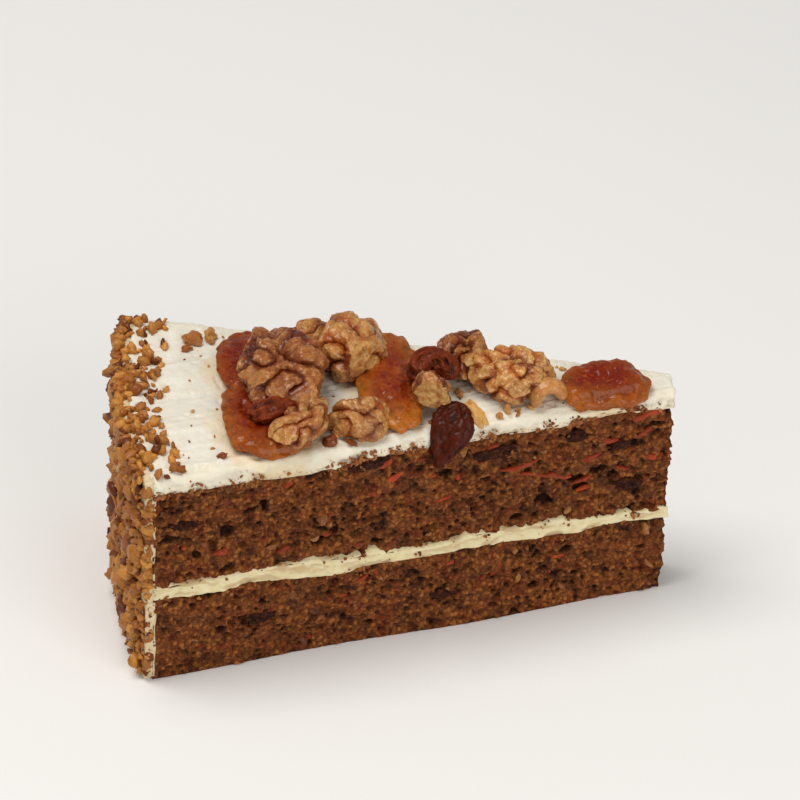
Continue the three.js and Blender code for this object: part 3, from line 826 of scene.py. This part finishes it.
def frosting_finish():
    """White frosting: satin, ivory low on the cuts, tinted by syrup round the apricots, brown where crumbs
    are smeared into it."""
    finish, place = new_finish("cream_cheese_frosting")
    soft = place.noise(0.35, 3.0)
    colour = soft.between(0.35, 0.7).blend((233, 227, 210), (240, 236, 222))
    colour = (place.number("low_down") * 0.8).between(0.0, 1.0).blend(colour, (236, 218, 168))
    stained = (place.number("stain") * (0.25 + 0.5 * place.noise(0.45, 2.0))).between(0.0, 1.0)
    colour = (stained * 0.7).blend(colour, (228, 190, 106))
    specks = place.noise(1.5, 3.0, 0.6).between(0.52, 0.62)
    crumbed = (place.number("crumbed") * (0.25 + 0.75 * specks)).between(0.0, 1.0)
    colour = crumbed.blend(colour, (140, 88, 44))
    relief = place.noise(1.6, 4.0, 0.55)
    surface(place, colour, 0.36 + 0.2 * soft, relief, 0.16, glow=(0.25, (0.8, 0.6, 0.35), 0.002))
    return finish


serve(frosting_piece(), frosting_finish(), "frosting", "frosting")

# Nut coat: the rim is spread with frosting and rolled in chopped toasted nuts. They cover it thickly, stand
# out of it unevenly, and some have strayed over the edge onto the top.
COAT_FOOT = 0.8
COAT_BED = CAKE_RADIUS - 2.1  # outside of the frosting that holds the nuts
NUT_SIZES = [(4.6, 4.8, 1.3), (2.9, 3.3, 0.9), (1.9, 2.2, 0.6)]  # spacing, width and its spread
STRAYED_NUTS = 250
STRAYED_REACH = 11.0  # how far in from the rim the farthest may lie
EDGE_NUTS = 170  # in the coat's two cut edges


def coat_bed_piece():
    """The frosting under the nuts: a curved slab with a lumpy outer face."""
    path = section_path(26, 8, 8)

    def low(x, y):
        return 0 * x + COAT_FOOT

    def high(x, y):
        return frosting_level(x, y) - 0.5

    rings = layer_rings(low, high, path, 5, RIM_RADIUS - 0.6, COAT_BED, tip_rings=4, rim_rings=30)
    lumps = layered_noise(rings / 3.0, 501, 3) - 0.5
    rings = rings + outward(rings) * (0.9 * lumps)[..., None]
    rings[..., 2] = np.maximum(rings[..., 2], 0.1)
    shade = np.zeros(rings.shape[:2])
    values = {"stain": [shade + 0.5], "crumbed": [shade + 0.4], "low_down": [shade + 0.8]}
    return ringed_piece("coat_frosting", [rings], values)


def coat_nut_places(draw):
    """Nuts over the rim: for each size, a grid over its face with every nut strayed from its place, then
    strays on the top near the rim, fewer further in, and nuts that show in the coat's two cut edges."""
    middles, widths = [], []
    tall = level(CENTRE_X - CAKE_RADIUS, FROSTING_TOP)
    for spacing, width, spread in NUT_SIZES:
        columns = int(COAT_BED * WEDGE_ANGLE / spacing)
        rows = int((tall - COAT_FOOT) / spacing)
        i, j = (g.ravel() for g in np.meshgrid(np.arange(columns), np.arange(rows)))
        size = width + spread * draw.uniform(-1, 1, i.size)
        edge = size / 2 / COAT_BED
        across = i + 0.5 * (j % 2) + draw.uniform(0, 0.6, i.size)
        up = j + draw.uniform(0.1, 0.9, i.size)
        turn = edge + (WEDGE_ANGLE - 2 * edge) * across / columns
        z = COAT_FOOT - 0.2 + 0.3 * size + (tall - COAT_FOOT - 0.5 * size) * up / rows
        radius = COAT_BED + 0.12 * size + draw.uniform(-0.2, 0.5, i.size)
        turn = np.clip(turn, edge, WEDGE_ANGLE - edge)
        middles.append(join(*in_plan(radius, turn), z))
        widths.append(size)
    size = draw.uniform(1.2, 3.6, STRAYED_NUTS)
    edge = size / 2 / COAT_BED
    turn = edge + (WEDGE_ANGLE - 2 * edge) * draw.random(STRAYED_NUTS)
    radius = CAKE_RADIUS - 1.0 - STRAYED_REACH * draw.random(STRAYED_NUTS) ** 2.6
    x, y = in_plan(radius, turn)
    z = np.where(radius > RIM_RADIUS, frosting_level(x, y) - 0.5, frosting_top(x, y)) + 0.15 * size
    middles.append(join(x, y, z))
    widths.append(size)
    size = draw.uniform(1.6, 3.4, EDGE_NUTS)
    radius = draw.uniform(RIM_RADIUS + 0.6, COAT_BED - 0.2, EDGE_NUTS)
    edge = 0.1 * size / radius
    turn = np.where(draw.random(EDGE_NUTS) < 0.5, edge, WEDGE_ANGLE - edge)
    middles.append(join(*in_plan(radius, turn), draw.uniform(COAT_FOOT + 1, tall - 2, EDGE_NUTS)))
    widths.append(size)
    return np.concatenate(middles), np.concatenate(widths)


coat_places, coat_widths = coat_nut_places(np.random.default_rng(71))
toasted = nut_finish("toasted_nut", (146, 78, 24), (220, 154, 72), (84, 30, 8))
serve(coat_bed_piece(), frosting_finish(), "frosting")
coat_nuts = chunk_piece("chopped_nuts", coat_places, coat_widths, 72, 9, 7, smooth=True)
serve(coat_nuts, toasted, "chopped_nuts", "nut_coat")

# Candied apricots: halves of apricot cooked in syrup until soft and glassy, laid on the frosting so that they
# follow it. Their rims are thin and amber, their middles deep red-orange, and the skin is creased and sticky.
APRICOT_GRID = (84, 168)  # rings, and points round each
APRICOTS = [  # name, place, middle above the frosting, size, squareness, turn in degrees, seed, redness
    ("apricot_left_back", (-24.2, 3.2), 2.0, (19, 26, 5), 2.0, 0, 1.2, 0.95),
    ("apricot_left_front", (-28.4, -17.0), 2.0, (20, 22, 5), 3.4, -14, 3.4, 0.8),
    ("apricot_centre", (1.8, -11.3), 2.0, (16, 31, 5), 2.0, -14, 5.1, 0.35),
    ("apricot_right", (46.8, -23.9), 1.9, (21, 12.5, 5.8), 2.0, 3, 2.2, 0.7),
]


def upright_ball(count, around):
    """Rings of a unit ball from its lower pole to its upper one."""
    return ball_rings(count, around)[..., [1, 2, 0]]


def turned(p, axis, degrees):
    """Points turned about the x, y or z axis (0, 1 or 2) by the right-hand rule."""
    c, s = math.cos(math.radians(degrees)), math.sin(math.radians(degrees))
    i, j = (axis + 1) % 3, (axis + 2) % 3
    q = p.copy()
    q[..., i], q[..., j] = p[..., i] * c - p[..., j] * s, p[..., i] * s + p[..., j] * c
    return q


def apricot_rings(place, over, size, squareness, yaw, seed):
    """A ball flattened to a disc with a lobed, slightly square outline, a full rim and a sunken middle,
    creased by ridged noise, then laid on the frosting and lowered wherever the frosting falls away."""
    p = upright_ball(*APRICOT_GRID)
    angle = np.arctan2(p[..., 1], p[..., 0])
    spread = np.hypot(p[..., 0], p[..., 1])
    boxy = (np.abs(np.cos(angle)) ** squareness + np.abs(np.sin(angle)) ** squareness) ** (-1 / squareness)
    outline = boxy + 0.06 * np.sin(2 * angle + seed) + 0.05 * np.sin(3 * angle + 2 * seed)
    full = np.sign(p[..., 2]) * np.abs(p[..., 2]) ** 1.05
    sunken = 1 - 0.35 * (1 - spread) + 0.12 * np.sin(5 * p[..., 0] + seed) * np.cos(4 * p[..., 1] - seed)
    shape = join(p[..., 0] * outline, p[..., 1] * outline, full * sunken) * np.array(size) / 2
    crease = wrinkles(shape / np.array([1.0, 1.6, 2.0]) + seed * 13, 4.2, 601)
    pucker = wrinkles(shape + seed * 17, 2.4, 611)
    bulge = layered_noise(shape / 5.5 + seed * 5, 621, 2) - 0.5
    lift = 0.6 * crease + 0.2 * pucker + 1.7 * bulge - 0.3
    edge_wave = (layered_noise(shape / 3.2 + seed * 7, 631, 2) - 0.5) * smooth_step(0.55, 0.95, spread)
    shape = shape * (1 + 0.24 * edge_wave[..., None]) + outward(shape) * lift[..., None]
    laid = turned(shape, 2, yaw)
    x, y = laid[..., 0] + place[0], laid[..., 1] + place[1]
    z = laid[..., 2] + frosting_top(x, y) + over
    return join(x, y, z), spread, 0.5 + 0.5 * crease


def apricot_finish():
    """Candied fruit: amber where thin, red-orange where thick, painted shade in the creases, painted glints
    on the small bumps and painted shade in their dips, under a clear syrup glaze, with light going some way
    into it."""
    finish, place = new_finish("candied_apricot")
    patches = place.noise(0.2, 3.0, 0.6).between(0.35, 0.65)
    streaks = place.noise(0.6, 5.0, 0.65)
    relief_and_painted_light = place.noise(1.5, 4.0, 0.6)
    thin = (place.number("thin") + patches * 0.5 - 0.25).between(0.25, 1.15)
    redness = place.number("redness")
    red = (redness * 0.85 + patches * 0.7 - thin * 0.3 + 0.05).between(0.15, 0.95)
    colour = red.blend((184, 92, 18), (126, 26, 2))
    amber = redness.between(0.3, 1.0).blend((196, 126, 38), (164, 78, 14))
    colour = (thin * 0.9).blend(colour, amber)
    # Painted shade: darker red-brown down in the creases.
    colour = ((1 - place.number("ridge")) * 0.6).between(0.0, 1.0).blend(colour, (88, 24, 4))
    colour = (streaks.between(0.5, 0.72) * 0.5).blend(colour, (104, 34, 6))
    colour = ((1 - streaks.between(0.28, 0.46)) * 0.4).blend(colour, (200, 104, 28))
    # Painted glints on the small bumps and painted shade in their dips, from the noise that also raises them.
    colour = (relief_and_painted_light.between(0.58, 0.7) * 0.4).blend(colour, (206, 116, 54))
    colour = ((1 - relief_and_painted_light.between(0.32, 0.44)) * 0.5).blend(colour, (92, 20, 6))
    surface(
        place, colour, 0.3 + 0.3 * streaks, streaks + relief_and_painted_light * 0.7, 0.5,
        specular=0.08, coat=(0.35, 0.05), glow=(0.25, (1.0, 0.28, 0.08), 0.0025),
    )
    return finish


candied = apricot_finish()
for name, place, over, size, squareness, yaw, seed, redness in APRICOTS:
    rings, spread, ridge = apricot_rings(place, over, size, squareness, yaw, seed)
    values = {"thin": [spread ** 2], "ridge": [ridge], "redness": [0 * spread + redness]}
    serve(ringed_piece(name + "_fruit", [rings], values), candied, "candied_apricot", name)

# Raisins: sun-dried grapes, plump after soaking, with long wrinkles and a sticky dark skin. One lies on an
# apricot, one is curled round on itself, and one hangs over the front edge.
RAISIN_GRID = (92, 84)
RAISINS = [  # name, place, middle above the frosting, size, bend, taper, furrow's place in degrees round it,
    # turns about x, y and z, seed, redness
    ("raisin_left", (-27.6, -18.3), 5.8, (11.4, 6.4, 5.2), 0, 0.08, 60, (0, 0, 8), 1.0, 0.6),
    ("raisin_curled", (10.0, -13.6), 6.8, (13.6, 6.0, 7.0), 4.3, 0.0, 90, (0, 0, 172), 2.0, 0.4),
    ("raisin_hanging", (8.9, -28.4), 1.0, (15.0, 8.4, 5.8), 0, 0.42, 69, (0, 50, -136), 4.0, 0.06),
]


def raisin_rings(size, bend, taper, furrow, seed):
    """A long ball, thinner at one end by its taper, whose girth is folded by sines along it and drawn in by
    one bell-shaped furrow, wrinkled by ridged noise, and bent along an arc where it is curled."""
    p = ball_rings(*RAISIN_GRID)
    round_it = np.arctan2(p[..., 2], p[..., 1])
    girth = 1 + 0.09 * np.sin(5 * round_it + 2.5 * p[..., 0] + seed) + 0.05 * np.sin(3 * round_it - seed)
    girth = girth * (1.06 - taper * p[..., 0] - 0.4 * taper * p[..., 0] ** 2)
    from_furrow = np.angle(np.exp(1j * (round_it - math.radians(furrow) - 0.5 * p[..., 0])))
    girth = girth * (1 - 0.3 * np.exp(-((from_furrow / 0.34) ** 2)))
    shape = p * np.array(size) / 2
    shape[..., 1:] *= girth[..., None]
    folds = wrinkles(shape / np.array([2.6, 1.0, 1.0]) + seed * 11, 1.5, 701)
    small = wrinkles(shape / np.array([1.4, 1.0, 1.0]) + seed * 19, 0.7, 711)
    shape = shape + outward(shape) * (0.5 * folds + 0.16 * small - 0.3)[..., None]
    if bend:
        radius = size[0] / bend
        turn = shape[..., 0] / radius
        reach = radius - shape[..., 1]
        shape = join(reach * np.sin(turn), radius - reach * np.cos(turn), shape[..., 2])
    return shape, 0.5 + 0.5 * folds


def set_down(shape, place, over, turns):
    """Turns a shape about x, then y, then z, and puts its middle over the frosting."""
    for axis, degrees in enumerate(turns):
        shape = turned(shape, axis, degrees)
    height = frosting_top(np.float64(place[0]), np.float64(place[1])) + over
    return shape + np.array([place[0], place[1], height])


def raisin_finish():
    """Dark skin, sticky: painted shade makes it near black in the wrinkles, painted light brightens the
    ridges, and a painted red-brown glow on them stands for light coming through.
    """
    finish, place = new_finish("raisin_skin")
    ridge = place.number("ridge")
    spots = place.noise(0.7, 3.0)
    # Painted light and shade: brighter on the ridges, near black in the wrinkles.
    painted_ridge_light = (ridge.between(0.25, 0.95) * 0.7 + spots * 0.35 - 0.1).between(0.0, 1.0)
    colour = painted_ridge_light.blend((18, 3, 1), (78, 24, 8))
    # A painted red-brown glow on the lit ridges, for light coming through the skin, scaled by each raisin's
    # redness.
    painted_light_through = (place.number("redness") * painted_ridge_light * (0.5 + spots)).between(0.0, 1.0)
    colour = painted_light_through.blend(colour, (176, 78, 36))
    surface(
        place, colour, 0.36 + 0.25 * spots, place.noise(2.0, 3.0), 0.2,
        specular=0.05, coat=(0.16, 0.08), glow=(0.1, (1.0, 0.2, 0.05), 0.0015),
    )
    return finish


raisin_skin = raisin_finish()
for name, place, over, size, bend, taper, furrow, turns, seed, redness in RAISINS:
    shape, ridge = raisin_rings(size, bend, taper, furrow, seed)
    values = {"ridge": [ridge], "redness": [0 * ridge + redness]}
    fruit = ringed_piece(name + "_fruit", [set_down(shape, place, over, turns)], values)
    serve(fruit, raisin_skin, "raisin", name)

# Walnuts: halves and broken pieces of kernel, lightly glazed. The skin is brown and folded like a labyrinth,
# with a long groove in the middle, and broken faces show the paler flesh.
WALNUT_GRID = (104, 150)
WALNUTS = [  # name, place, middle above the frosting, size, turns about x, y and z, seed, groove, golden,
    # breaks, each the direction of its face and how far out it lies
    ("walnut_left", (-22.2, -5.9), 7.4, (25, 18, 10.5), (0, 0, 80), 0.6, 0.5, 0.12,
     [(0.6, -0.7, 0.4, 0.93)]),
    ("walnut_front_left", (-22.8, -23.9), 5.0, (17, 8, 6.8), (0, 0, 38), 2.4, 0.35, 0.5,
     [(-0.7, 0.2, 0.6, 0.86)]),
    ("walnut_golden", (-4.2, -0.3), 5.0, (17, 14.5, 11), (0, 0, 60), 4.2, 0.15, 0.6,
     [(-0.5, -0.75, 0.4, 0.84)]),
    ("walnut_back", (-10.6, 7.1), 3.6, (9.5, 7.5, 7.6), (0, 0, 20), 5.5, 0.1, 0.6,
     [(0.2, -0.8, 0.5, 0.8)]),
    ("walnut_front", (-9.4, -23.3), 3.4, (13, 9.5, 7.4), (0, 0, -15), 1.9, 0.3, 0.55,
     [(0.85, -0.2, 0.4, 0.8)]),
    ("walnut_chip", (7.0, -22.9), 7.4, (9.6, 7.4, 7), (20, 0, 70), 3.1, 0.1, 0.2,
     [(-0.95, 0.0, -0.12, 0.3)]),
    ("walnut_dark", (19.4, -9.3), 4.6, (14.5, 11, 9.8), (0, 0, 62), 6.1, 0.4, 0.15,
     [(-0.7, -0.5, 0.5, 0.88)]),
    ("walnut_right", (27.0, -19.1), 4.2, (18, 12.5, 9.4), (0, 0, -20), 7.3, 0.3, 0.85,
     [(0.8, -0.3, 0.5, 0.86)]),
]
FOLD_PITCH = 1.45
FOLD_DEPTH = 0.17
SWOLLEN = 1.05  # makes up for what the breaks take off
CHIPPED = 6  # small breaks on each kernel, besides the large ones above


def kernel_folds(q, seed):
    """A labyrinth of round ridges between narrow creases: the root of the size of a sum of three products
    of sines and cosines, which is zero along winding sheets."""
    a, b, c = q[..., 0] + seed, q[..., 1] + 1.7 * seed, q[..., 2] - seed
    maze = np.sin(a) * np.cos(b) + np.sin(b) * np.cos(c) + np.sin(c) * np.cos(a)
    return np.sqrt(np.abs(maze)) - 0.7


def walnut_rings(size, seed, groove, breaks):
    """A ball swollen along the folds, deeper in some places than in others, with a groove along its top,
    finer folds and wrinkled skin. Each break cuts it flat: what is past the plane is laid back onto it, a
    little rough."""
    half = np.array(size) / 2 * SWOLLEN
    p = upright_ball(*WALNUT_GRID)
    q = p * half / (FOLD_PITCH * (1.1 + 0.25 * math.sin(5 * seed)))
    strayed = q + 1.9 * (join(*(soft_noise(q / 2.2, 801 + k) for k in range(3))) - 0.5)
    folds = kernel_folds(strayed, seed)
    fine = kernel_folds(strayed * 2.3, seed + 2)
    valley = groove * np.exp(-((p[..., 1] / 0.26) ** 2)) * np.maximum(p[..., 2], 0)
    depth = FOLD_DEPTH * (0.7 + 1.8 * soft_noise(p * 1.5 - seed, 803))
    swell = 1 + depth * folds + 0.06 * fine - valley + 0.3 * (soft_noise(p * 1.7 + seed * 3, 805) - 0.5)
    shape = p * swell[..., None] * half
    skin = wrinkles(shape + seed * 3, 1.1, 811)
    grain = layered_noise(shape / 0.9 + seed, 813, 2) - 0.5
    shape = shape + outward(shape) * (0.2 * skin + 0.35 * grain)[..., None]
    flesh = np.zeros(shape.shape[:2])
    rough = layered_noise(shape / 1.3, 821, 3) - 0.5
    draw = np.random.default_rng(int(seed * 10))
    chipped = [(*draw.normal(size=3), 1 - draw.uniform(0.02, 0.16)) for _ in range(CHIPPED)]
    for number, (x, y, z, distance) in enumerate(breaks + chipped):
        normal = np.array([x, y, z]) / math.hypot(x, y, z)
        past = (shape * normal).sum(-1) - distance * np.linalg.norm(normal * half) + 1.1 * rough
        shape = shape - normal * np.maximum(past, 0)[..., None]
        bare = 0.9 if number < len(breaks) else 0.15 + 0.25 * (number % 2)
        flesh = np.maximum(flesh, bare * smooth_step(0.0, 0.25, past))
    return shape, np.clip(0.5 + 0.75 * folds + 0.25 * fine, 0, 1), flesh


def walnut_finish():
    """Kernel skin: painted shade darkens the creases and a painted highlight makes the ridges tan, with fine
    veins;
    pale cream flesh where broken.
    """
    finish, place = new_finish("walnut_kernel")
    golden = place.number("golden")
    ridge = place.number("ridge")
    mottled = place.noise(0.5, 4.0, 0.6)
    veins = place.noise(1.9, 4.0, 0.7)
    worn = place.noise(0.9, 5.0, 0.75).between(0.52, 0.6) * ridge.between(0.4, 0.8)
    skin = golden.blend((112, 44, 13), (200, 106, 34))
    # The ridge-top colour is a painted highlight.
    ridge_highlight = golden.blend((196, 116, 54), (248, 198, 116))
    # The crease colour is painted shade in the creases, and also the veins' own colour.
    creases = golden.blend((50, 14, 5), (98, 36, 10))
    browned = place.noise(0.16, 2.0).between(0.47, 0.57) * (1 - ridge * 0.6)
    skin = (browned * 0.9).blend(skin, (104, 38, 12))
    # Painted highlight on the ridges, then painted shade down in the creases.
    colour = (ridge.between(0.55, 1.0) * (0.3 + 0.7 * mottled)).between(0.0, 1.0).blend(skin, ridge_highlight)
    colour = (1 - ridge.between(0.0, 0.42)).blend(colour, creases)
    colour = (veins.between(0.53, 0.7) * 0.65).blend(colour, creases)
    colour = (worn * 0.8).blend(colour, golden.blend((206, 140, 78), (246, 208, 142)))
    pale = mottled.between(0.35, 0.65).blend((238, 192, 116), (186, 110, 44))
    colour = (place.number("flesh") * 0.92).blend(colour, pale)
    surface(
        place, colour, 0.32 + 0.25 * veins, veins, 0.45,
        specular=0.15, coat=(0.5, 0.07), glow=(0.08, (0.8, 0.4, 0.2), 0.0015),
    )
    return finish


def hook_rings(radius, thickness):
    """The hooked lobe of a broken kernel: an oval section carried along a little over half a circle, its ends
    drawn in, roughened by noise."""
    steps, around = 40, 30
    t = np.linspace(0, 1, steps)
    turn = math.pi * (1.08 - 1.16 * t)
    middle = join(radius * np.cos(turn), 0 * t, radius * 1.15 * np.sin(turn))[:, None]
    out = join(np.cos(turn), 0 * t, np.sin(turn))[:, None]
    side = np.array([0.0, 1.0, 0.0])
    angle = np.linspace(0, 2 * np.pi, around, endpoint=False)[None, :, None]
    girth = np.sqrt(np.clip(1 - (2 * t - 1) ** 8, 0, 1))[:, None, None]
    rings = middle + girth * thickness * (0.5 * np.cos(angle) * out + 0.8 * np.sin(angle) * side)
    lumps = layered_noise(rings / 1.8, 831, 3) - 0.5
    return rings + outward(rings) * (0.9 * lumps)[..., None]


kernel = walnut_finish()
for name, place, over, size, turns, seed, groove, golden, breaks in WALNUTS:
    shape, ridge, flesh = walnut_rings(size, seed, groove, breaks)
    surfaces = [set_down(shape, place, over, turns)]
    values = {"ridge": [ridge], "flesh": [flesh], "golden": [0 * ridge + golden]}
    if name == "walnut_right":
        hook = hook_rings(3.0, 3.0)
        surfaces.append(set_down(hook, (33.0, -25.5), 1.6, (0, 0, 5)))
        for key, number in (("ridge", 0.7), ("flesh", 0.35), ("golden", golden)):
            values[key].append(np.full(hook.shape[:2], number))
    serve(ringed_piece(name + "_kernel", surfaces, values), kernel, "walnut_kernel", name)

# Bits and crumbs: chips of walnut and candied fruit that fell on the frosting, and crumbs of sponge that the
# knife dragged onto the cut edges of the frosting and the cream.
CHIPS = [  # x, y, width, tint from brown to pale
    (-34.6, 19.1, 4.8, 0.3), (-30.4, 19.3, 4.2, 0.6), (-36.8, 16.3, 2.6, 0.2), (-41.1, -24.9, 2.6, 0.0),
    (-17.1, -26.2, 4.0, 0.1), (-15.2, -23.9, 2.8, 0.7), (16.6, -25.6, 7.0, 1.0), (23.6, -25.5, 3.2, 0.6),
    (15.4, -17.7, 2.8, 0.5), (26.0, -26.0, 1.8, 0.4), (-12.6, -27.0, 3.0, 0.1), (21.6, -26.6, 2.2, 0.5),
]
CHIPS_DRAWN = 110
CRUMBS_DRAWN = 2600


def scattered_chips(draw, count):
    """The named chips, then drawn ones anywhere on the top, most of them small."""
    x, y, width, tint = np.array(CHIPS).T
    radius = draw.uniform(TIP_RADIUS + 4, RIM_RADIUS - 6, count)
    turn = WEDGE_ANGLE * draw.uniform(0.05, 0.95, count)
    x, y = (np.concatenate(pair) for pair in zip((x, y), in_plan(radius, turn)))
    width = np.concatenate([width, 0.6 + 1.8 * draw.random(count) ** 3])
    tint = np.concatenate([tint, draw.random(count)])
    return join(x, y, frosting_top(x, y) + 0.12 * width), width, tint


def smeared_crumbs(draw, count):
    """Crumbs on both cuts, crowded where the frosting and the cream meet the sponge."""
    radius = draw.uniform(TIP_RADIUS, RIM_RADIUS, 3 * count)
    crowded = layered_noise(join(radius / 3.5, 0 * radius, 0 * radius), 851, 3)
    radius = radius[crowded > 0.42 + 0.25 * draw.random(3 * count)][:count]
    count = len(radius)
    back_cut = draw.random(count) < 0.5
    x, y = in_plan(radius, WEDGE_ANGLE * back_cut)
    at_cream = np.where(draw.random(count) < 0.5, cream_top(x, y), cream_bottom(x, y))
    at_frosting = draw.random(count) < 0.85
    strayed = np.where(at_frosting, draw.exponential(0.8, count), draw.normal(0, 0.8, count)) - 0.3
    z = np.minimum(np.where(at_frosting, sponge_top(x, y), at_cream) + strayed, frosting_top(x, y))
    width = 0.3 + 1.2 * draw.random(count) ** 3
    return cut_place(radius, z, back_cut, 0.15 + 0.2 * width), width


chip_places, chip_widths, chip_tints = scattered_chips(np.random.default_rng(91), CHIPS_DRAWN)
chip_finish = nut_finish("fallen_chip", (150, 74, 24), (232, 182, 104), (122, 56, 18))
fallen = chunk_piece("fallen_chips", chip_places, chip_widths, 92, 9, 8, tints=chip_tints)
serve(fallen, chip_finish, "chopped_nuts")
crumb_places, crumb_widths = smeared_crumbs(np.random.default_rng(93), CRUMBS_DRAWN)
crumb_bits = nut_finish("loose_crumb", (124, 66, 26), (182, 118, 60), (92, 46, 18))
serve(chunk_piece("loose_crumbs", crumb_places, crumb_widths, 94, 6, 5), crumb_bits, "sponge")
